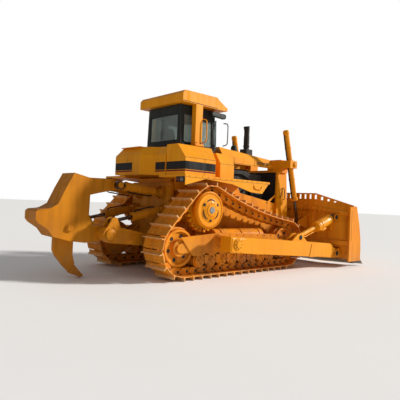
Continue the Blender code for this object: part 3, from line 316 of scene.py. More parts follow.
NODE_FINISHES = (
    (yellow_paint, ("hood", "fender_", "side_tank", "front_box", "rear_tank", "rops", "radiator_guard",
                    "push_arm", "lift_barrel", "tilt_barrel", "sprocket")),
    (blade_paint, ("blade", "spill_guard")),
    (ripper_paint_with_painted_shade, ("ripper_mount", "ripper_link", "ripper_carrier", "ripper_shank", "ripper_lift_barrels",
                    "ripper_tilt_barrels")),
    (frame_paint, ("track_frame", "front_idler", "rear_idler", "main_frame")),
    (track_paint, ("track_left", "track_right")),
    (cab_paint, ("cab_shell", "door_left", "door_right", "cab_console", "seat")),
    (cab_glass, ("windshield", "rear_window", "quarter_window", "door_left_glass", "door_right_glass")),
    (dark_cast, ("engine", "exhaust_stack", "radiator_grille")),
    (radiator_fins, ("radiator_core",)),
    (chrome_rod, ("lift_rod", "tilt_rod", "ripper_lift_rod", "ripper_tilt_rod", "ripper_pin")),
    (edge_steel, ("cutting_edge",)),
)
for material, starts in NODE_FINISHES:
    for name, node in nodes.items():
        if name.startswith(starts):
            for place in node.material_slots:
                place.material = material


# ---- shapes, each (points as an (n, 3) array, list of faces) ----
def skin(rings, closed=True, caps=True):
    """Quads between neighbouring rings of an (m, n, 3) array, with flat ends if caps."""
    rings = np.asarray(rings, float)
    m, n = rings.shape[:2]
    k, i = np.meshgrid(np.arange(m - 1), np.arange(n if closed else n - 1), indexing="ij")
    j = (i + 1) % n
    quads = np.stack([k * n + i, k * n + j, (k + 1) * n + j, (k + 1) * n + i], axis=-1).reshape(-1, 4)
    faces = quads.tolist()
    if caps and closed:
        faces += [list(range(n))[::-1], list(range((m - 1) * n, m * n))]
    return rings.reshape(-1, 3), faces


def joined(shapes):
    """Several shapes as one, with the face numbers moved on."""
    points, faces, start = [], [], 0
    for p, f in shapes:
        points.append(p)
        faces += [[v + start for v in face] for face in f]
        start += len(p)
    return np.vstack(points), faces


def slab(profile, y0, y1):
    """Side profile of (x, z) points carried from y0 to y1."""
    outline = np.asarray(profile, float)
    rings = [np.stack([outline[:, 0], np.full(len(outline), y), outline[:, 1]], axis=1) for y in (y0, y1)]
    return skin(rings)


def span(side, a, b):
    """The two places across the machine on one side, lower first."""
    return sorted((side * a, side * b))


def block(x0, x1, y0, y1, z0, z1):
    return slab([(x0, z0), (x1, z0), (x1, z1), (x0, z1)], y0, y1)


def rounded(path, radius, corner=6):
    """Path with each inner corner replaced by a quadratic curve that starts radius before it."""
    path = np.asarray(path, float)
    out = [path[:1]]
    t = np.linspace(0.0, 1.0, corner)[:, None]
    for before, here, after in zip(path[:-2], path[1:-1], path[2:]):
        a, b = before - here, after - here
        a = here + a * min(0.5, radius / np.linalg.norm(a))
        b = here + b * min(0.5, radius / np.linalg.norm(b))
        out.append((1 - t) ** 2 * a + 2 * t * (1 - t) * here + t ** 2 * b)
    out.append(path[-1:])
    return np.vstack(out)


def tube(path, radius, sides=10, up=(0.0, 0.0, 1.0)):
    """Round section carried along a path: point = path + r(cos a side + sin a other),
    where side is square to the path's direction and a fixed up vector."""
    path = np.asarray(path, float)
    along = np.gradient(path, axis=0)
    along /= np.linalg.norm(along, axis=1)[:, None]
    side = np.cross(along, np.array(up, float))
    weak = np.linalg.norm(side, axis=1) < 0.2
    side[weak] = np.cross(along[weak], (0.31, 0.95, 0.05))
    side /= np.linalg.norm(side, axis=1)[:, None]
    other = np.cross(along, side)
    a = np.linspace(0, 2 * math.pi, sides, endpoint=False)[None, :, None]
    r = np.broadcast_to(np.asarray(radius, float), (len(path),))[:, None, None]
    return skin(path[:, None] + r * (np.cos(a) * side[:, None] + np.sin(a) * other[:, None]))


def bent(path, corner, radius, sides=8, up=(0, 1, 0)):
    """Round tube along a path whose corners are rounded."""
    return tube(rounded(path, corner), radius, sides, up)


def turned(profile, base, direction, sides=24):
    """Profile of (distance, radius) turned about a line from base along direction."""
    profile = np.asarray(profile, float)
    along = np.array(direction, float)
    along /= np.linalg.norm(along)
    side = np.cross(along, (0.0, 0.0, 1.0) if abs(along[2]) < 0.9 else (0.0, 1.0, 0.0))
    side /= np.linalg.norm(side)
    other = np.cross(along, side)
    a = np.linspace(0, 2 * math.pi, sides, endpoint=False)[None, :, None]
    d, r = profile[:, 0, None, None], profile[:, 1, None, None]
    return skin(np.array(base, float) + d * along + r * (np.cos(a) * side + np.sin(a) * other))


def studs(centres, direction, radius=0.018, height=0.014, sides=6):
    """Bolt heads: a six-sided prism with a narrower washer-faced top at each centre."""
    centres = np.asarray(centres, float).reshape(-1, 3)
    one, faces = turned([(0.0, radius * 1.25), (height * 0.2, radius * 1.25), (height * 0.2, radius),
                         (height * 0.85, radius), (height, radius * 0.78)], (0, 0, 0), direction, sides)
    points = (centres[:, None] + one[None]).reshape(-1, 3)
    table = [np.array(f) for f in faces]
    return points, [(f + len(one) * k).tolist() for k in range(len(centres)) for f in table]


def ring_of(centre, radius, count, y, start=0.0):
    """Centres spread evenly round a circle in a side view, at one y."""
    a = start + np.linspace(0, 2 * math.pi, count, endpoint=False)
    return np.stack([centre[0] + radius * np.cos(a), np.full(count, y), centre[1] + radius * np.sin(a)], axis=1)


def put(name, shape, material, body="tractor", smooth=None, bevel=0.0, wear=None):
    """Piece from a shape, or a list of them, in the drawing's place: moved into the shared frame, turned
    outwards, painted and riding on its body."""
    points, faces = joined(shape) if isinstance(shape, list) else shape
    mesh = bpy.data.meshes.new(name)
    mesh.from_pydata((points + (AXLE_X, 0.0, 0.0)).tolist(), [], faces)
    mesh.validate()
    obj = bpy.data.objects.new(name, mesh)
    bpy.context.scene.collection.objects.link(obj)
    outward(mesh)
    if wear is not None:
        layer = mesh.attributes.new("wear", "FLOAT", "POINT")
        layer.data.foreach_set("value", np.asarray(wear, np.float32))
    mesh.materials.append(material)
    if bevel:
        modifier = obj.modifiers.new("edges", "BEVEL")
        modifier.width, modifier.segments, modifier.limit_method = bevel, 2, "ANGLE"
        modifier.angle_limit = math.radians(40)
    if smooth:
        mesh.shade_smooth()
        mesh.set_sharp_from_angle(angle=math.radians(smooth))
    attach(obj, body)
    return obj


def outward(mesh):
    """Turns every closed shell of a mesh to face outwards."""
    work = bmesh.new()
    work.from_mesh(mesh)
    bmesh.ops.recalc_face_normals(work, faces=work.faces)
    work.to_mesh(mesh)
    work.free()


SIDES = ((1, "left"), (-1, "right"))


# ---- camera, lights and floor ----
def place_camera():
    """A 39 mm lens at standing height off the machine's right rear corner."""
    yaw, pitch, roll = (math.radians(v) for v in (46.637, 0.35, 2.395))
    look = Vector((math.cos(yaw) * math.cos(pitch), math.sin(yaw) * math.cos(pitch), math.sin(pitch)))
    level = look.cross(Vector((0, 0, 1))).normalized()
    top = level.cross(look)
    right = math.cos(roll) * level + math.sin(roll) * top
    up = right.cross(look)
    turn = Matrix((right, up, -look)).transposed().to_4x4()
    data = bpy.data.cameras.new("yard_view")
    data.lens, data.sensor_width = 39.0, 36.0
    data.clip_end = 500.0
    camera = bpy.data.objects.new("yard_view", data)
    camera.matrix_world = Matrix.Translation((-6.337 + AXLE_X, -7.741, 1.558)) @ turn
    bpy.context.scene.collection.objects.link(camera)
    bpy.context.scene.camera = camera


def place_lights():
    """Low warm sun ahead on the machine's right, under a world the camera sees as white."""
    sun = bpy.data.lights.new("high_sun", "SUN")
    sun.energy, sun.angle = 4.2, math.radians(5.0)
    sun.color = (1.0, 0.97, 0.92)
    lamp = bpy.data.objects.new("high_sun", sun)
    lamp.rotation_euler = Vector((0.84, -0.56, 0.44)).to_track_quat("Z", "Y").to_euler()
    bpy.context.scene.collection.objects.link(lamp)
    world = bpy.data.worlds.new("studio")
    world.use_nodes = True
    tree = world.node_tree
    back = tree.nodes["Background"]
    back.inputs["Color"].default_value = (1.0, 1.0, 1.0, 1.0)
    seen = ramp(tree, tree.nodes.new("ShaderNodeLightPath").outputs["Is Camera Ray"], 0.0, 1.0, 0.31, 1.0)
    tree.links.new(seen, back.inputs["Strength"])
    bpy.context.scene.world = world
    bpy.context.scene.view_settings.view_transform = "Standard"


def place_floor():
    """Pale floor, a fine-grained plane with slight cloudiness."""
    points, faces = skin(np.array([[(x, y, 0.0) for x in (-150.0, 150.0)] for y in (-150.0, 150.0)]), closed=False)
    mesh = bpy.data.meshes.new("floor")
    mesh.from_pydata(points.tolist(), [], faces)
    floor = bpy.data.objects.new("floor", mesh)
    bpy.context.scene.collection.objects.link(floor)
    material, tree, shader, spot = start_material("pale_floor")
    cloud = noise_node(tree, spot, 0.4, 3.0)
    tree.links.new(mix_colour(tree, cloud, (0.93, 0.93, 0.93), (0.96, 0.96, 0.96)), shader.inputs["Base Color"])
    shader.inputs["Roughness"].default_value = 0.9
    mesh.materials.append(material)


place_camera()
place_lights()
place_floor()


# ---- tracks ----
def pin_line():
    """Side line through the track pins: tangents between three wheels, the arcs round them,
    and a parabola of sag on the long upper run. Dense points, clockwise from the sprocket."""
    centres = np.array([(0.0, SPROCKET_Z), (FRONT_IDLER_X, IDLER_Z), (REAR_IDLER_X, IDLER_Z)])
    radii = np.array([SPROCKET_R, IDLER_R, IDLER_R])
    ahead = np.roll(centres, -1, axis=0) - centres
    length = np.linalg.norm(ahead, axis=1)
    u = ahead / length[:, None]
    lean = (radii - np.roll(radii, -1)) / length
    normal = u * lean[:, None] + np.stack([-u[:, 1], u[:, 0]], axis=1) * np.sqrt(1 - lean ** 2)[:, None]
    angle = np.arctan2(normal[:, 1], normal[:, 0])
    pieces = []
    t = np.linspace(0.0, 1.0, 60, endpoint=False)[:, None]
    for k in range(3):
        sweep = (angle[k - 1] - angle[k]) % (2 * math.pi)
        a = angle[k - 1] - sweep * t
        pieces.append(centres[k] + radii[k] * np.hstack([np.cos(a), np.sin(a)]))
        p, q = centres[k] + radii[k] * normal[k], centres[(k + 1) % 3] + radii[(k + 1) % 3] * normal[k]
        pieces.append(p + (q - p) * t - normal[k] * 4 * (TRACK_SAG if k == 0 else 0.0) * t * (1 - t))
    return np.vstack(pieces)


def shoe_frames():
    """Start, direction and outward normal of each link, pin to pin, and its length."""
    line = pin_line()
    closed = np.vstack([line, line[:1]])
    run = np.concatenate([[0.0], np.cumsum(np.linalg.norm(np.diff(closed, axis=0), axis=1))])
    count = round(run[-1] / SHOE_PITCH)
    places = np.linspace(0.0, run[-1], count + 1)
    pins = np.stack([np.interp(places, run, closed[:, i]) for i in (0, 1)], axis=1)
    along = np.diff(pins, axis=0)
    pitch = np.linalg.norm(along, axis=1)
    along /= pitch[:, None]
    return pins[:-1], along, np.stack([-along[:, 1], along[:, 0]], axis=1), float(pitch.mean())


def on_links(shape, side, wear=None):
    """The shape, drawn once as (along, across, up) from a pin, set on every link of one track."""
    points, faces = shape
    start, along, out, _ = shoe_frames()
    x = start[:, None, 0] + points[None, :, 0] * along[:, None, 0] + points[None, :, 2] * out[:, None, 0]
    z = start[:, None, 1] + points[None, :, 0] * along[:, None, 1] + points[None, :, 2] * out[:, None, 1]
    y = np.broadcast_to(side * TRACK_Y + points[None, :, 1], x.shape)
    table = [np.array(f) for f in faces]
    many = [(f + len(points) * k).tolist() for k in range(len(start)) for f in table]
    worn = None if wear is None else np.tile(wear, len(start))
    return (np.stack([x, y, z], axis=2).reshape(-1, 3), many), worn


def shoe():
    """Rolled plate with a hooked rear lip, a lapped front lip and one tall bar with rubbed corners."""
    profile = np.array([(0.004, 0.060), (0.000, 0.078), (0.010, 0.089), (0.150, 0.090), (0.183, 0.092),
                        (0.191, 0.104), (0.194, 0.158), (0.198, 0.165), (0.209, 0.165), (0.213, 0.158),
                        (0.217, 0.104), (0.226, 0.092), (0.242, 0.089), (0.254, 0.080), (0.256, 0.068),
                        (0.246, 0.066), (0.236, 0.069), (0.030, 0.069), (0.018, 0.066)])
    wear = np.where(profile[:, 1] > 0.15, 1.0, np.where(profile[:, 1] > 0.10, 0.35, 0.05))
    across = np.array([-SHOE_HALF, -SHOE_HALF + 0.006, SHOE_HALF - 0.006, SHOE_HALF])
    inset = np.array([1.0, 0.0, 0.0, 1.0])
    middle = profile.mean(axis=0)
    rings = np.stack([np.column_stack([p[:, 0], np.full(len(p), y), p[:, 1]])
                      for y, k in zip(across, inset) for p in (profile + k * 0.02 * (middle - profile),)])
    ends = np.where(np.abs(across) > SHOE_HALF - 0.004, 0.3, 0.0)
    return skin(rings), np.clip(wear[None] + ends[:, None], 0.0, 1.0).ravel()


def link_rail(near, offset, length):
    """One offset half of a link: a long plate with a waist, flat below where the rollers run."""
    a = np.linspace(-0.5 * math.pi, -1.5 * math.pi, 7)
    nose = np.column_stack([0.052 * np.cos(a), 0.052 * np.sin(a)])
    tail = np.column_stack([length - nose[::-1, 0], nose[::-1, 1]])
    outline = np.vstack([[(0.010, -CHAIN_BELOW)], nose[1:], [(0.045, 0.068)], [(length - 0.045, 0.068)],
                         tail[:-1], [(length - 0.010, -CHAIN_BELOW)]])
    return slab(outline, near, near + offset)


def add_track(side, name):
    """Shoes, links, pins and shoe bolts of one track, in place of its CAD node."""
    pitch = shoe_frames()[3]
    plate, rubbed = shoe()
    shape, wear = on_links(plate, side, rubbed)
    shoes = put("shoes_" + name, shape, track_paint, smooth=40, wear=wear)
    rails = [link_rail(s * 0.099 - 0.029, 0.028, pitch * 0.56) for s in (1, -1)]
    ahead = [link_rail(s * 0.099 + 0.001, 0.028, pitch * 0.56) for s in (1, -1)]
    rails += [(points + (pitch * 0.44, 0.0, 0.0), faces) for points, faces in ahead]
    shape, _ = on_links(joined(rails), side)
    put("links_" + name, shape, track_paint)
    barrel = turned([(-0.135, 0.022), (-0.135, 0.030), (-0.067, 0.030), (-0.067, 0.042), (0.067, 0.042),
                     (0.067, 0.030), (0.135, 0.030), (0.135, 0.022)], (0, 0, 0), (0, 1, 0), 12)
    shape, _ = on_links(barrel, side)
    put("pins_" + name, shape, dark_cast, smooth=40)
    places = [(u, v, 0.089) for u in (0.050, 0.130) for v in (-0.115, -0.072, 0.072, 0.115)]
    shape, _ = on_links(studs(places, (0, 0, 1), 0.014, 0.012), side)
    put("shoe_bolts_" + name, shape, track_paint)
    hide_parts("track_" + name)


for side, name in SIDES:
    add_track(side, name)


# ---- sprockets, idlers and rollers ----
def add_sprocket(side, name):
    """Domed hub cover with its bolts, three dark crescents and plugs round a boss, and the ring's bolts."""
    centre = (0.0, SPROCKET_Z)
    base = (0.0, side * TRACK_Y, SPROCKET_Z)
    face = side * (TRACK_Y + 0.235)
    cover = turned([(0.150, 0.10), (0.150, 0.386), (0.205, 0.392), (0.222, 0.386), (0.236, 0.362),
                    (0.238, 0.336), (0.226, 0.318), (0.224, 0.262), (0.244, 0.244), (0.252, 0.205),
                    (0.268, 0.180), (0.272, 0.135), (0.288, 0.118), (0.290, 0.062), (0.282, 0.052),
                    (0.282, 0.004)], base, (0, side, 0), 56)
    put("hub_cover_" + name, cover, yellow_paint, smooth=32)
    put("hub_bolts_" + name, studs(ring_of(centre, 0.352, 44, face), (0, side, 0), 0.0150, 0.020), yellow_paint)
    put("hub_inner_bolts_" + name, studs(ring_of(centre, 0.150, 12, side * (TRACK_Y + 0.270)),
                                         (0, side, 0), 0.010, 0.011), yellow_paint)
    t = np.linspace(0.0, 1.0, 9)
    webs = []
    for k in range(3):
        a = math.radians(90 + 120 * k) + 1.25 * (t - 0.5)
        r = 0.205 + 0.012 * np.sin(math.pi * t)
        path = np.stack([r * np.cos(a), np.full(9, side * (TRACK_Y + 0.250)), SPROCKET_Z + r * np.sin(a)], axis=1)
        webs.append(tube(path, 0.016 * np.sin(math.pi * (0.12 + 0.76 * t)), 8, up=(0, 1, 0)))
    put("hub_webs_" + name, webs, dark_cast, smooth=50)
    bosses = [turned([(0.0, 0.034), (0.018, 0.034), (0.026, 0.026), (0.026, 0.004)],
                     (0.215 * math.cos(a), side * (TRACK_Y + 0.236), SPROCKET_Z + 0.215 * math.sin(a)),
                     (0, side, 0), 14) for a in np.radians((30, 150, 270))]
    put("hub_plugs_" + name, bosses, dark_cast, smooth=40)
    middle = turned([(0.286, 0.072), (0.300, 0.066), (0.304, 0.040), (0.302, 0.004)], base, (0, side, 0), 32)
    put("hub_middle_" + name, middle, grey_rail, smooth=50)
    put("segment_bolts_" + name, studs(ring_of(centre, 0.408, 30, side * (TRACK_Y + 0.045)),
                                       (0, side, 0), 0.011, 0.010), dark_cast)


def add_idler(side, name, x, end):
    """Dished wheel: a rubbed tread, a deep web with six round openings shown as dark dishes of painted shade, and a
    bolted hub cap.
    """
    base = (x, side * TRACK_Y, IDLER_Z)
    wheel = turned([(0.052, 0.398), (0.060, 0.372), (0.118, 0.374), (0.126, 0.366), (0.128, 0.330),
                    (0.116, 0.318), (0.078, 0.300), (0.070, 0.190), (0.100, 0.176), (0.152, 0.168),
                    (0.157, 0.120), (0.157, 0.01)], base, (0, side, 0), 40)
    put(f"{end}_idler_dish_{name}", wheel, frame_paint, smooth=35)
    a = np.radians(np.arange(6) * 60 + 12)
    # Each opening is a closed dark dish: painted shade where the web's holes are.
    holes = [turned([(-0.004, 0.030), (0.006, 0.040), (0.010, 0.036), (0.004, 0.030), (0.002, 0.002)],
                    (x + 0.245 * math.cos(v), side * (TRACK_Y + 0.073), IDLER_Z + 0.245 * math.sin(v)),
                    (0, side, 0), 16) for v in a]
    put(f"{end}_idler_openings_{name}", holes, dark_cast, smooth=40)
    put(f"{end}_idler_bolts_{name}", studs(ring_of((x, IDLER_Z), 0.085, 6, side * (TRACK_Y + 0.157)),
                                           (0, side, 0), 0.012, 0.012), frame_paint)


ROLLER_X = -0.20 + 0.335 * np.arange(8)
ROLLER_Z = IDLER_Z - IDLER_R + CHAIN_BELOW + 0.13


def add_rollers(side, name):
    """Double-flanged bottom rollers with stepped end caps held by two bolts each."""
    rollers, caps = [], []
    for x in ROLLER_X:
        base = (x, side * TRACK_Y, ROLLER_Z)
        rollers.append(turned([(0.131, 0.10), (0.131, 0.142), (0.138, 0.150), (0.150, 0.146), (0.156, 0.118),
                               (0.176, 0.112), (0.178, 0.02)], base, (0, side, 0), 26))
        caps.append(turned([(0.190, 0.090), (0.204, 0.088), (0.210, 0.078), (0.211, 0.052), (0.224, 0.048),
                            (0.230, 0.038), (0.230, 0.004)], base, (0, side, 0), 22))
    put("roller_flanges_" + name, rollers, track_paint, smooth=35)
    put("roller_caps_" + name, caps, frame_paint, smooth=35)
    y = side * (TRACK_Y + 0.210)
    places = [(x + dx, y, ROLLER_Z + dz) for x in ROLLER_X for dx, dz in ((-0.066, 0.004), (0.066, 0.004),
                                                                        (0.0, 0.068), (0.0, -0.066))]
    put("roller_bolts_" + name, studs(places, (0, side, 0), 0.010, 0.010), dark_cast)


def add_track_frame(side, name):
    """Guard plate's lower skirt with its bolts, hangers between rollers, and the recoil tube's rings."""
    y = side * (TRACK_Y + 0.212)
    skirts = [slab([(x - 0.060, 0.520), (x - 0.045, 0.330), (x - 0.020, 0.296), (x + 0.020, 0.296),
                    (x + 0.045, 0.330), (x + 0.060, 0.520)], *sorted((side * (TRACK_Y + 0.196), y)))
              for x in ROLLER_X[:-1] + 0.1675]
    put("roller_hangers_" + name, skirts, frame_paint, bevel=0.006)
    bolts = np.vstack([np.linspace((-0.30, y, 0.535), (2.22, y, 0.555), 22),
                       np.linspace((0.40, y, 0.895), (2.10, y, 0.840), 8)])
    put("frame_bolts_" + name, studs(bolts, (0, side, 0), 0.013, 0.012), frame_paint)
    rings = [turned([(-0.02, 0.168), (-0.015, 0.178), (0.015, 0.178), (0.02, 0.168)],
                    (x, side * (TRACK_Y + 0.03), 0.84), (1, 0, 0), 24) for x in (0.45, 1.10, 1.72)]
    put("recoil_rings_" + name, rings, frame_paint, smooth=40)
    boss = turned([(0.18, 0.19), (0.215, 0.19), (0.235, 0.168), (0.26, 0.162), (0.30, 0.150)],
                  (ARM_PIVOT[0], side * TRACK_Y, ARM_PIVOT[1]), (0, side, 0), 28)
    put("trunnion_boss_" + name, boss, frame_paint, smooth=35)


for side, name in SIDES:
    add_sprocket(side, name)
    add_idler(side, name, FRONT_IDLER_X, "front")
    add_idler(side, name, REAR_IDLER_X, "rear")
    add_rollers(side, name)
    add_track_frame(side, name)


# ---- fenders, tanks and stripes ----
def add_stripes():
    """Black band with a dark red line under it, round the rear tank and the side tanks."""
    black, red = [], []
    for z0, z1, into in ((2.205, 2.365, black), (2.165, 2.195, red)):
        into += [block(-0.780, 0.055, -TANK_SIDE - 0.0025, -TANK_SIDE + 0.0015, z0, z1),
                 block(-0.7825, -0.7785, -TANK_SIDE, -0.815, z0, z1),
                 block(-1.0025, -0.9985, 0.090, 0.745, z0, z1), block(-0.8025, -0.7985, -0.795, -0.475, z0, z1),
                 block(-0.445, 0.055, TANK_SIDE - 0.0015, TANK_SIDE + 0.0025, z0, z1),
                 block(-0.4525, -0.4485, 0.815, 1.398, z0, z1)]
    put("tank_band", black, black_stripe)
    put("tank_red_line", red, red_stripe)


def add_body_panels():
    """Panel seams, filler caps, service lids, deck treads and the bolts along the deck edges."""
    seams = [block(-0.254, -0.248, -1.4015, -1.397, 2.115, 2.44), block(-1.0015, -0.997, 0.262, 0.268, 2.11, 2.52),
             block(0.350, 0.790, -1.2515, -1.248, 2.412, 2.418),
             block(-0.780, 0.055, -1.4015, -1.397, 2.436, 2.442),
             block(-0.80, 1.82, -1.4565, -1.453, 2.046, 2.052), block(-0.80, 1.82, 1.453, 1.4565, 2.046, 2.052)]
    put("panel_seams", seams, dark_cast)
    places = np.vstack([np.linspace((-0.70, side * DECK_SIDE, 2.075), (1.72, side * DECK_SIDE, 2.075), 15)
                        for side, _ in SIDES])
    bolts = [studs(places[:15], (0, 1, 0), 0.011, 0.010), studs(places[15:], (0, -1, 0), 0.011, 0.010)]
    bolts.append(studs(np.linspace((-1.0, 0.68, 2.14), (-1.0, -0.14, 2.14), 6), (-1, 0, 0), 0.012, 0.010))
    put("deck_bolts", bolts, yellow_paint)
    caps = [turned([(0.0, 0.075), (0.025, 0.075), (0.030, 0.066), (0.050, 0.062), (0.056, 0.050), (0.056, 0.006)],
                   p, (0, 0, 1), 24) for p in ((-0.55, -0.98, 2.715), (-0.60, 0.30, 2.695))]
    put("filler_caps", caps, dark_cast, smooth=35)
    lids = [block(-0.96, -0.42, -0.10, 0.60, 2.694, 2.712), block(0.40, 0.74, -1.08, -0.92, 2.645, 2.658)]
    put("service_lids", lids, yellow_paint, bevel=0.008)
    tread = [block(x, x + 0.018, *span(s, 0.68, 1.38), 2.100, 2.106)
             for s, _ in SIDES for x in np.arange(0.90, 1.80, 0.06)]
    put("deck_treads", tread, yellow_paint)


def add_rear_lamps():
    """Recessed lamp in the rear corner of each fender: dark housing, bright lens and a red one."""
    for side, name in SIDES:
        y = side * 1.30
        housing = block(-0.822, -0.796, *sorted((y - 0.125, y + 0.125)), 1.945, 2.060)
        put("lamp_housing_" + name, housing, dark_cast, bevel=0.012)
        for label, dy, glass in (("clear", 0.055, lamp_glass), ("red", -0.055, lamp_red)):
            lens = turned([(0.0, 0.046), (0.010, 0.046), (0.018, 0.034), (0.022, 0.016), (0.022, 0.002)],
                          (-0.818, y + side * dy, 2.002), (-1, 0, 0), 22)
            put(f"rear_lamp_{label}_{name}", lens, glass, smooth=60)


def add_work_lamps():
    """Black lamp box along each side of the canopy's front."""
    for side, name in SIDES:
        y0, y1 = span(side, 0.665, 0.765)
        box = slab([(0.53, 3.54), (0.96, 3.52), (0.985, 3.55), (0.985, 3.61), (0.96, 3.635), (0.53, 3.635)], y0, y1)
        put("lamp_box_" + name, box, cab_paint, bevel=0.012)
        lens = block(0.983, 0.992, y0 + 0.012, y1 - 0.012, 3.545, 3.615)
        put("lamp_box_lens_" + name, lens, lamp_glass, bevel=0.003)


def add_rails():
    """Grab rails at the cab doors and a handle under each deck, bent from round tube."""
    for side, name in SIDES:
        inward, out = side * 0.655, side * 0.80
        front = rounded([(1.02, inward, 2.91), (1.02, out, 2.93), (1.02, out, 3.42), (1.02, inward, 3.44)], 0.07)
        put("front_grab_rail_" + name, tube(front, 0.014, 10, up=(1, 0, 0)), grey_rail,
            smooth=60)
        rear = rounded([(0.245, side * 0.75, 2.88), (0.285, side * 0.85, 2.90), (0.285, side * 0.85, 3.39),
                        (0.245, side * 0.75, 3.41)], 0.06)
        put("post_grab_rail_" + name, tube(rear, 0.013, 10, up=(1, 0, 0)), yellow_paint, smooth=60)
        step = rounded([(1.25, side * 1.45, 2.02), (1.27, side * 1.475, 1.93), (1.50, side * 1.475, 1.90),
                        (1.55, side * 1.45, 2.00)], 0.04)
        put("deck_handle_" + name, tube(step, 0.012, 8, up=(0, 1, 0)), yellow_paint, smooth=60)


def add_engine_bay():
    """Filters, pipes and ribs in the engine bay, the hood's seams and vents (dark bars of painted shade), guard
    fittings and grille bars.
    """
    for side, name in SIDES:
        y = side * 0.44
        filters = [turned([(0.0, 0.030), (0.010, 0.056), (0.030, 0.060), (0.19, 0.060), (0.21, 0.050),
                           (0.235, 0.046), (0.235, 0.004)], (x, y, 2.02), (0, 0, -1), 20)
                   for x in (1.62, 1.80, 2.36)]
        put("engine_filters_" + name, filters, cab_paint, smooth=40)
        pipes = [bent([(1.30, y, 2.30), (1.95, y, 2.34), (2.30, y, 2.22), (2.30, y, 1.90), (2.75, y, 1.82)],
                      0.10, 0.028, 12),
                 bent([(1.35, y, 1.72), (1.90, y, 1.70), (2.10, y, 1.95), (2.85, y, 2.05)], 0.10, 0.018, 10)]
        put("engine_pipes_" + name, pipes, rubber, smooth=60)
        ribs = [block(x, x + 0.030, *span(side, 0.365, 0.400), 0.95, 1.52) for x in np.arange(1.35, 2.85, 0.16)]
        put("engine_ribs_" + name, ribs, dark_cast, bevel=0.006)
        y0, y1 = span(side, HOOD_SIDE - 0.0015, HOOD_SIDE + 0.0025)
        seams = [block(x, x + 0.006, y0, y1, 2.565, 2.72) for x in (1.62, 2.40)]
        seams.append(block(1.18, 3.18, y0, y1, 2.578, 2.583))
        put("hood_seams_" + name, seams, dark_cast)
        # The vents are flat dark bars on the hood side: painted shade in their slots.
        vents = [block(2.48 + 0.055 * k, 2.51 + 0.055 * k, y0, y1, 2.61, 2.69) for k in range(9)]
        put("hood_vent_painted_shade_" + name, vents, dark_cast)
        brace = slab([(2.80, 1.64), (3.14, 1.86), (3.14, 1.80), (2.86, 1.61)], *span(side, 0.62, 0.635))
        put("frame_brace_" + name, brace, frame_paint, bevel=0.004)
        bolts = np.vstack([np.linspace((3.20, side * GUARD_SIDE, 0.80), (3.20, side * GUARD_SIDE, 2.40), 9),
                           np.linspace((1.05, side * 0.620, 1.15), (1.05, side * 0.620, 1.95), 6)])
        put("guard_bolts_" + name, studs(bolts, (0, side, 0), 0.014, 0.012), yellow_paint)
        hold = rounded([(3.30, side * GUARD_SIDE, 1.78), (3.30, side * 0.715, 1.80), (3.36, side * 0.715, 2.06),
                        (3.46, side * 0.715, 2.02), (3.46, side * 0.715, 1.74),
                        (3.44, side * GUARD_SIDE, 1.72)], 0.04)
        put("guard_hold_" + name, tube(hold, 0.010, 8, up=(0, 1, 0)), dark_cast, smooth=60)
    rain = turned([(-0.02, 0.074), (0.0, 0.086), (0.035, 0.086), (0.05, 0.078), (0.05, 0.070)],
                  (2.62, 0.0, 3.12), (0, 0, 1), 28)
    put("exhaust_clamp", rain, dark_cast, smooth=35)
    shield = tube([(2.62, 0.0, 3.16), (2.62, 0.0, 3.30), (2.62, 0.0, 3.42)], (0.0765, 0.0785, 0.0765), 24,
                  up=(1, 0, 0))
    put("exhaust_shield", shield, dark_cast, smooth=35)
    cap = turned([(0.0, 0.080), (0.16, 0.080), (0.20, 0.060), (0.215, 0.02)], (1.95, -0.16, 2.86), (0, 0, 1), 24)
    put("air_cleaner_cap", cap, cab_paint, smooth=35)
    bars = [block(3.545 - 0.16 * (z - 0.9) / 1.55 - 0.02, 3.552 - 0.16 * (z - 0.9) / 1.55 + 0.01, -0.61, 0.61,
                  z, z + 0.016) for z in np.arange(0.92, 2.40, 0.075)]
    put("grille_bars", bars, dark_cast)


add_stripes()
add_body_panels()
add_rear_lamps()
add_work_lamps()
add_rails()
add_engine_bay()


# ---- cab ----
def cab_half(z, inset=0.0):
    """Half width of the cab at a height: it leans in from 0.63 at the floor to 0.57 at the top."""
    return 0.63 - 0.06 * (np.asarray(z) - 2.1005) / 1.5895 - inset


def window_seal(corners, radius=0.009):
    """Rubber lip round a window: a round section along its closed outline."""
    outline = rounded(np.vstack([corners, corners[:2]]), 0.03, 4)
    return tube(outline, radius, 8, up=(0.21, 0.13, 0.97))


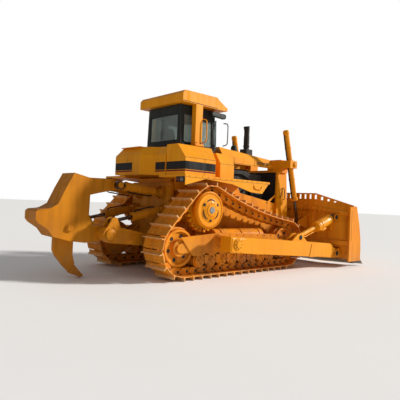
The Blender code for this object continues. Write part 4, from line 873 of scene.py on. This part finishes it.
def add_cab_trim():
    """Window lips, door fittings, wipers, foot bolts, canopy seams, levers and dials."""
    seals = [window_seal([(-0.245, -0.49, 2.91), (-0.245, 0.49, 2.91), (-0.245, 0.49, 3.48),
                          (-0.245, -0.49, 3.48)])]
    for side, name in SIDES:
        y0, y1 = side * float(cab_half(2.87, 0.006)), side * float(cab_half(3.49, 0.006))
        seals.append(window_seal([(-0.16, y0, 2.87), (0.19, y0, 2.87), (0.19, y1, 3.49), (-0.16, y1, 3.49)]))
        y0, y1 = side * float(cab_half(2.83, 0.004)), side * float(cab_half(3.42, 0.004))
        seal = window_seal([(0.34, y0, 2.83), (0.70, y0, 2.83), (0.70, y1, 3.42), (0.34, y1, 3.42)])
        put("door_seal_" + name, seal, rubber, "door_" + name, smooth=60)
        y = side * float(cab_half(2.79))
        handle = [bent([(0.295, y, 2.765), (0.295, y + side * 0.035, 2.770),
                        (0.295, y + side * 0.035, 2.815), (0.295, y, 2.820)], 0.012, 0.006, 8, (1, 0, 0)),
                  turned([(0.0, 0.018), (0.006, 0.018), (0.008, 0.004)], (0.318, y, 2.79), (0, side, 0), 14)]
        put("door_handle_" + name, handle, chrome_rod, "door_" + name, smooth=40)
        hinges = [turned([(0.0, 0.012), (0.06, 0.012), (0.06, 0.003)],
                         (0.775, side * float(cab_half(z, -0.008)), z), (0, 0, 1), 12) for z in (2.86, 3.34)]
        put("door_hinges_" + name, hinges, cab_paint, smooth=40)
        arm = bent([(1.02, side * 0.20, 3.505), (1.045, side * 0.20, 3.49), (1.045, side * 0.10, 3.10),
                    (1.040, side * 0.10, 3.05)], 0.02, 0.006)
        put("front_wiper_" + name, arm, cab_paint, smooth=60)
    put("window_seals", seals, rubber, smooth=60)
    blade = [tube([(-0.262, 0.02, 3.485), (-0.266, 0.03, 3.30), (-0.262, 0.05, 3.12)], 0.006, 8, (0, 1, 0)),
             tube([(-0.258, 0.05, 3.16), (-0.256, 0.052, 3.05), (-0.258, 0.055, 2.95)], 0.008, 8, (0, 1, 0))]
    put("rear_wiper", blade, cab_paint, smooth=60)
    feet = [studs([(x, side * (0.774 if x < 0.3 else 0.70), 2.862)], (0, 0, 1), 0.014, 0.016)
            for side, _ in SIDES for x in (0.06, 0.18)]
    put("post_foot_bolts", feet, dark_cast)
    gutter = [block(-0.365, 0.68, *span(side, 0.772, 0.7765), 3.716, 3.728) for side, _ in SIDES]
    put("canopy_seams", gutter, dark_cast)
    levers = [bent([(0.74, dy, 2.79), (0.70, dy, 2.90), (0.66, dy * 1.05, 2.99)], 0.05, 0.008)
              for dy in (-0.18, -0.10, 0.10, 0.18)]
    knobs = [turned([(-0.022, 0.006), (-0.016, 0.018), (0.0, 0.024), (0.016, 0.018), (0.022, 0.004)],
                    (0.655, dy * 1.05, 3.0), (0, 0, 1), 14) for dy in (-0.18, -0.10, 0.10, 0.18)]
    put("cab_levers", levers + knobs, cab_paint, smooth=60)
    dials = [turned([(0.0, 0.040), (0.010, 0.040), (0.012, 0.034), (0.006, 0.032), (0.006, 0.003)],
                    (0.79, dy, 2.806), (-0.25, 0, 1), 20) for dy in (-0.05, 0.05)]
    put("cab_dials", dials, grey_rail, smooth=40)


def cushion(centre, half, crown, lean=0.0, channels=3):
    """Closed pad: a superellipse grid, u round the plan and v over the side, whose top is
    crowned and creased by sewn channels across it; leaned back about Y by an angle."""
    u = np.linspace(0, 2 * math.pi, 72, endpoint=False)[None, :]
    v = np.linspace(-0.5 * math.pi, 0.5 * math.pi, 30)[:, None]

    def soft(value, power):
        return np.sign(value) * np.abs(value) ** power

    x = half[0] * soft(np.cos(v), 0.28) * soft(np.cos(u), 0.42)
    y = half[1] * soft(np.cos(v), 0.28) * soft(np.sin(u), 0.42)
    z = half[2] * soft(np.sin(v), 0.55) * np.ones_like(u)
    mid = (1 - (x / half[0]) ** 2) * (1 - (y / half[1]) ** 2)
    crease = np.exp(-((np.mod(y / half[1] * channels * 0.5 + 0.5, 1.0) - 0.5) / 0.055) ** 2)
    z = z + np.where(z > 0, crown * mid - 0.010 * crease * (mid > 0.02), 0.0)
    c, s = math.cos(lean), math.sin(lean)
    rings = np.stack([centre[0] + c * x + s * z, centre[1] + y, centre[2] - s * x + c * z], axis=-1)
    return skin(rings)


def add_seat():
    """Sprung operator's seat: two padded cushions with sewn channels, armrests, and a pedestal."""
    parts = (("seat_cushion", (0.115, 0.0, 2.520), (0.235, 0.240, 0.060), 0.030, 0.0),
             ("seat_back", (-0.105, 0.0, 2.880), (0.330, 0.235, 0.050), 0.025, math.radians(-98)))
    for name, centre, half, crown, lean in parts:
        pad = put(name, cushion(centre, half, crown, lean), seat_cloth, smooth=60)
        pad.modifiers.new("soft", "SUBSURF").levels = 1
        pad.modifiers["soft"].render_levels = 1
        if name == "seat_cushion":
            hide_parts("seat")
    for side, name in SIDES:
        arm = put("seat_armrest_" + name, cushion((0.09, side * 0.30, 2.70), (0.145, 0.038, 0.030), 0.008, 0.0, 1),
                  seat_cloth, smooth=60)
        stay = bent([(0.02, side * 0.20, 2.50), (0.02, side * 0.30, 2.52), (0.04, side * 0.30, 2.68)], 0.05,
                    0.014, 10, (1, 0, 0))
        put("seat_armrest_stay_" + name, stay, cab_paint, smooth=60)
    bellows = turned([(0.0, 0.200), (0.02, 0.200)] + [(0.03 + 0.02 * k, 0.185 - 0.018 * (k % 2)) for k in range(12)]
                     + [(0.275, 0.20), (0.30, 0.20)], (0.115, 0.0, 2.1512), (0, 0, 1), 32)
    put("seat_pedestal", bellows, rubber, smooth=50)


add_cab_trim()
add_seat()


# ---- blade, arms and cylinders ----
def in_line(base, eye, distances, y, across=0.0):
    """Points at distances from a cylinder's base towards its eye, moved across that line in the side view."""
    a, b = np.array(base, float), np.array(eye, float)
    u = (b - a) / np.linalg.norm(b - a)
    p = a + np.outer(distances, u) + across * np.array((-u[1], u[0]))
    return np.stack([p[:, 0], np.full(len(p), float(y)), p[:, 1]], axis=1)


def on_barrel(profile, base, eye, distance, y, sides=28, across=0.0):
    """Profile turned about a cylinder's own line, from a distance along it."""
    along = (eye[0] - base[0], 0.0, eye[1] - base[1])
    return turned(profile, in_line(base, eye, [distance], y, across)[0], along, sides)


def collars(base, eye, y, places, half, lip, rise, sides=28):
    """Raised rings round a barrel; each place is (distance, radius)."""
    return [on_barrel([(-half, r), (-lip, r + rise), (lip, r + rise), (half, r)], base, eye, d, y, sides)
            for d, r in places]


def oil_line(base, eye, y, distances, height, ends, corner, radius):
    """Hard line beside a barrel whose ends come down to it."""
    path = in_line(base, eye, distances, y, height)
    path[0] = in_line(base, eye, distances[:1], y, ends[0])[0]
    path[-1] = in_line(base, eye, distances[-1:], y, ends[1])[0]
    return bent(path, corner, radius, 10)


def wing(y, x, z, drop=1.0):
    """A point of the blade's profile carried to a place y across it: wings come forward and down."""
    out = np.maximum(0.0, np.abs(y) - WING_FROM)
    return np.stack([x + WING_AHEAD * out, y, z - WING_DOWN * drop * out], axis=-1)


def add_blade_pieces():
    """Ribs and beams on the blade's back, edge bolts, end plate seams and edges, lug webs and pin caps."""
    body = "blade"
    across = np.array([-2.10, -WING_FROM, WING_FROM, 2.10])
    beams = (("blade_top_beam", 1.0, ((4.245, 1.62), (4.200, 1.60), (4.195, 1.50), (4.225, 1.50))),
             ("blade_low_beam", 0.0, ((4.165, 0.72), (4.110, 0.70), (4.110, 0.58), (4.170, 0.56))))
    for name, drop, section in beams:
        rings = np.stack([wing(across, x, z, drop) for x, z in section], 1)
        put(name, skin(rings), blade_paint, body, bevel=0.006)
    ribs = []
    for y in (-2.02, -1.60, -1.32, -1.10, -0.78, -0.46, -0.15, 0.15, 0.46, 0.78, 1.10, 1.32, 1.60, 2.02):
        out = max(0.0, abs(y) - WING_FROM)
        dx, dz = WING_AHEAD * out, -WING_DOWN * out
        ribs.append(slab([(4.18 + dx, 0.70), (4.125 + dx, 0.78), (4.135 + dx, 1.30), (4.195 + dx, 1.52 + dz),
                          (4.25 + dx, 1.52 + dz), (4.19 + dx, 1.20)], y - 0.011, y + 0.011))
    put("blade_back_ribs", ribs, blade_paint, body, bevel=0.003)
    outer = np.linspace(1.22, 2.0, 6)
    heads = wing(np.concatenate([np.linspace(-1.09, 1.09, 16), outer, -outer]), 4.615, 0.315, 0.0)
    put("edge_bolts", studs(heads, (0.82, 0.0, 0.57), 0.018, 0.012), edge_steel, body)
    for side, name in SIDES:
        face = side * BLADE_HALF
        y0, y1 = sorted((face - side * 0.004, face))
        seam = slab([(4.50, 0.72), (4.515, 0.72), (4.515, 1.50), (4.50, 1.50)], y0 - 0.0006, y1 + 0.0006)
        put("end_plate_seam_" + name, seam, dark_cast, body)
        rail = slab([(4.995, 0.17), (5.055, 0.17), (5.045, 0.72), (4.945, 1.15), (4.775, 1.615), (4.745, 1.60),
                     (4.915, 1.13), (5.010, 0.70)], *span(side, 2.100, 2.1565))
        put("end_plate_edge_" + name, rail, blade_paint, body, bevel=0.004)
        bolts = [(4.60 + 0.085 * k, face - side * 0.004, 0.22) for k in range(5)]
        put("end_bit_bolts_" + name, studs(bolts, (0, side, 0), 0.016, 0.004), edge_steel, body)
        gusset = slab([(4.43, 1.18), (4.27, 1.14), (4.24, 0.98), (4.43, 0.92)],
                      *span(side, TILT_Y - 0.10, TILT_Y - 0.065))
        put("tilt_lug_web_" + name, gusset, blade_paint, body, bevel=0.004)
        ends = np.array([(ARM_PIN[0], side * (TILT_Y + 0.133), ARM_PIN[1]),
                         (TILT_EYE[0], side * (TILT_Y + 0.100), TILT_EYE[1])])
        caps = [turned([(0.0, 0.062), (0.012, 0.062), (0.018, 0.052), (0.018, 0.005)], p, (0, side, 0), 20)
                for p in ends]
        caps += [studs(ring_of((p[0], p[2]), 0.040, 3, p[1] + side * 0.018), (0, side, 0), 0.009, 0.008)
                 for p in ends]
        put("blade_pin_caps_" + name, caps, dark_cast, body, smooth=40)


def add_arm_pieces():
    """Doubler plates, the step block and the pivot's bolted cap on each push arm."""
    body = "push_arms"
    for side, name in SIDES:
        out = side * ARM_FACE
        near, far = sorted((out - side * 0.002, out + side * 0.012))
        plate = slab([(2.96, 0.335), (3.05, 0.655), (3.88, 0.600), (4.14, 0.500), (4.20, 0.430), (3.92, 0.310)],
                     near, far)
        put("arm_front_doubler_" + name, plate, yellow_paint, body, bevel=0.005)
        plate = slab([(0.13, 0.60), (0.13, 0.87), (0.55, 0.845), (0.62, 0.70), (0.50, 0.575)], near, far)
        put("arm_pivot_doubler_" + name, plate, yellow_paint, body, bevel=0.005)
        cap = turned([(0.0, 0.125), (0.012, 0.125), (0.026, 0.112), (0.030, 0.075), (0.044, 0.066), (0.044, 0.006)],
                     (ARM_PIVOT[0], out + side * 0.010, ARM_PIVOT[1]), (0, side, 0), 32)
        put("arm_pivot_cap_" + name, cap, yellow_paint, body, smooth=35)
        bolts = ring_of(ARM_PIVOT, 0.092, 8, out + side * 0.034)
        put("arm_pivot_bolts_" + name, studs(bolts, (0, side, 0), 0.012, 0.011), dark_cast, body)
        y0, y1 = span(side, 1.66, 1.85)
        block_shape = slab([(0.96, 0.500), (1.02, 0.480), (1.20, 0.480), (1.25, 0.530), (1.25, 0.585),
                            (0.93, 0.585)], y0, y1)
        put("arm_step_" + name, block_shape, yellow_paint, body, bevel=0.010)
        y0, y1 = span(side, 1.70, 1.875)
        tie = slab([(1.16, 0.795), (1.30, 0.790), (1.30, 0.815), (1.16, 0.822)], y0, y1)
        put("arm_clamp_" + name, tie, yellow_paint, body, bevel=0.004)
        caps = [turned([(0.0, 0.056), (0.014, 0.056), (0.018, 0.046), (0.018, 0.005)],
                       (TILT_BASE[0], side * (TILT_Y + s * 0.1005), TILT_BASE[1]), (0, s * side, 0), 20)
                for s in (1, -1)]
        put("tilt_base_caps_" + name, caps, dark_cast, body, smooth=40)


def add_cylinder_pieces():
    """Collars, caps, a valve and the hard oil lines that are strapped along each cylinder."""
    tilt, lift = (TILT_BASE, TILT_EYE), (LIFT_TOP, LIFT_EYE)
    for side, name in SIDES:
        y = side * TILT_Y
        put("tilt_rings_" + name, collars(*tilt, y, [(0.86, 0.127), (1.03, 0.127)], 0.022, 0.018, 0.007),
            yellow_paint, "tilt_barrels", smooth=40)
        line = in_line(*tilt, [0.20, 0.30, 0.80, 0.94], y + side * 0.02, -0.085)
        line[0, 2] += 0.03
        more = in_line(*tilt, [1.02, 1.40, 1.46], y + side * 0.02, -0.145)
        put("tilt_oil_line_" + name, bent(np.vstack([line, more]), 0.05, 0.014, 10), yellow_paint,
            "tilt_barrels", smooth=60)
        valve = on_barrel([(0.0, 0.03), (0.02, 0.042), (0.20, 0.042), (0.22, 0.03), (0.22, 0.004)], *tilt, 1.10, y,
                          20, -0.165)
        put("tilt_valve_" + name, valve, yellow_paint, "tilt_barrels", smooth=35)
        y = side * LIFT_Y
        rings = collars(*lift, y, [(-0.84, 0.075), (-0.45, 0.075), (0.40, 0.075), (0.93, 0.090)], 0.02, 0.016,
                        0.010)
        rings.append(on_barrel([(-0.05, 0.020), (-0.045, 0.060), (-0.02, 0.078), (0.01, 0.080), (0.015, 0.074)],
                               *lift, -0.885, y))
        put("lift_rings_" + name, rings, yellow_paint, "lift_barrels", smooth=40)
        pipe = oil_line(*lift, y, [-0.80, -0.74, -0.16, 0.10, 0.86, 0.92], -0.105, (-0.065, -0.080), 0.04, 0.017)
        put("lift_oil_line_" + name, pipe, rubber, "lift_barrels", smooth=60)
        boss = turned([(0.0, 0.070), (0.022, 0.070), (0.030, 0.058), (0.030, 0.005)],
                      (LIFT_TOP[0], side * 1.076, LIFT_TOP[1]), (0, side, 0), 24)
        put("lift_trunnion_cap_" + name, boss, yellow_paint, smooth=40)
        ring = ring_of(LIFT_TOP, 0.048, 4, side * 1.104, 0.6)
        put("lift_trunnion_bolts_" + name, studs(ring, (0, side, 0), 0.010, 0.010), dark_cast)


# ---- ripper ----
LINK_PIVOT, LINK_PIN = (-0.84, 0.73), (-1.90, 0.88)
RIP_LIFT_BASE, RIP_LIFT_EYE = (-0.62, 1.37), (-1.82, 1.13)
RIP_TILT_BASE, RIP_TILT_EYE = (-0.62, 1.74), (-1.62, 1.84)
RIP_BARREL_R = 0.085
CARRIER_HALF = 0.250


def round_cap(at, y, side, radius):
    """Stepped cover with three bolts on the end of a pin."""
    steps = [(0.0, radius), (0.014, radius), (0.024, radius - 0.014), (0.024, 0.006)]
    bolts = ring_of(at, radius * 0.55, 3, side * (y + 0.024), 0.5)
    return [turned(steps, (at[0], side * y, at[1]), (0, side, 0), 26), studs(bolts, (0, side, 0), 0.011, 0.010)]


def add_ripper_cylinder(side, name, kind, base, eye, y, ends, over):
    """Three collars and an oil line over or under one of the ripper's barrels."""
    body = f"ripper_{kind}_barrels"
    rings = collars(base, eye, side * y, [(d, RIP_BARREL_R) for d in ends], 0.018, 0.014, 0.009, 26)
    put(f"ripper_{kind}_rings_{name}", rings, ripper_paint_with_painted_shade, body, smooth=40)
    close = over * (RIP_BARREL_R - 0.01)
    line = oil_line(base, eye, side * y, [0.18, 0.22, ends[2] - 0.10, ends[2] - 0.05],
                    over * (RIP_BARREL_R + 0.028), (close, close), 0.03, 0.013)
    put(f"ripper_{kind}_oil_line_{name}", line, rubber, body, smooth=60)


def add_ripper_pieces():
    """Pin covers, weld beads, push-block bolts, the shank's pin, guard and tip, and the case's cover."""
    carrier = "ripper_carrier"
    for side, name in SIDES:
        put("link_pivot_cap_" + name, round_cap(LINK_PIVOT, 0.672, side, 0.095), ripper_paint_with_painted_shade, smooth=40)
        put("link_pin_cap_" + name, round_cap(LINK_PIN, 0.634, side, 0.110), ripper_paint_with_painted_shade, "ripper_link", smooth=40)
        for at, y, kind in ((RIP_LIFT_BASE, 0.622, "lift"), (RIP_TILT_BASE, 0.502, "tilt")):
            put(f"ripper_{kind}_base_cap_{name}", round_cap(at, y, side, 0.062), ripper_paint_with_painted_shade,
                f"ripper_{kind}_barrels", smooth=40)
        put("carrier_eye_cap_" + name, round_cap(RIP_TILT_EYE, 0.462, side, 0.060), ripper_paint_with_painted_shade, carrier,
            smooth=40)
        face = side * CARRIER_HALF
        pin = turned([(0.0, 0.075), (0.02, 0.075), (0.03, 0.06), (0.05, 0.045), (0.05, 0.005)], (-2.57, face, 0.98),
                     (0, side, 0), 26)
        put("shank_pin_cap_" + name, pin, ripper_paint_with_painted_shade, carrier, smooth=40)
        bead = bent([(-2.80, face, 1.42), (-2.95, face, 1.335), (-3.14, face, 1.315)], 0.05, 0.009)
        put("carrier_weld_" + name, bead, ripper_paint_with_painted_shade, carrier, smooth=60)
        hub = slab([(-1.86, 1.02), (-1.72, 1.02), (-0.95, 0.86), (-0.93, 0.80), (-1.66, 0.93), (-1.80, 0.95)],
                   *span(side, 0.619, 0.631))
        put("link_doubler_" + name, hub, ripper_paint_with_painted_shade, "ripper_link", bevel=0.004)
        add_ripper_cylinder(side, name, "lift", RIP_LIFT_BASE, RIP_LIFT_EYE, 0.52, (0.17, 0.45, 0.75), -1)
        add_ripper_cylinder(side, name, "tilt", RIP_TILT_BASE, RIP_TILT_EYE, 0.40, (0.17, 0.50, 0.85), 1)
    put("push_block_pad", block(-3.2005, -3.188, -0.235, 0.235, 1.13, 1.29), ripper_paint_with_painted_shade, carrier, bevel=0.008)
    bolts = [(-3.19, y, z) for y in (-0.19, 0.19) for z in (1.155, 1.265)]
    put("push_block_bolts", studs(bolts, (-1, 0, 0), 0.016, 0.010), dark_cast, carrier)
    tip = slab([(-2.425, 0.115), (-2.33, 0.255), (-2.120, 0.040), (-2.190, 0.012)], -0.056, 0.056)
    put("shank_tip", tip, ripper_paint_with_painted_shade, carrier, bevel=0.010)
    shin = slab([(-2.400, 0.92), (-2.368, 0.92), (-2.368, 0.455), (-2.322, 0.285), (-2.350, 0.262),
                 (-2.400, 0.45)], -0.050, 0.050)
    put("shank_shin_guard", shin, ripper_paint_with_painted_shade, carrier, bevel=0.006)
    low, high = 0.70, 1.86
    face = [(-0.5455, y, z) for y in (-0.63, 0.63) for z in np.linspace(low, high, 9)]
    face += [(-0.5455, y, z) for y in np.linspace(-0.28, 0.28, 5) for z in (low, high)]
    put("mount_bolts", studs(face, (-1, 0, 0), 0.020, 0.018), ripper_paint_with_painted_shade)
    cover = [turned([(0.0, 0.19), (0.016, 0.19), (0.024, 0.175), (0.024, 0.006)], (-0.540, 0.0, 1.25),
                    (-1, 0, 0), 36)]
    a = np.arange(12) * math.pi / 6
    rim = np.stack([np.full(12, -0.556), 0.182 * np.cos(a), 1.25 + 0.182 * np.sin(a)], 1)
    cover.append(studs(rim, (-1, 0, 0), 0.012, 0.010))
    put("case_cover", cover, ripper_paint_with_painted_shade, smooth=40)


add_blade_pieces()
add_arm_pieces()
add_cylinder_pieces()
add_ripper_pieces()
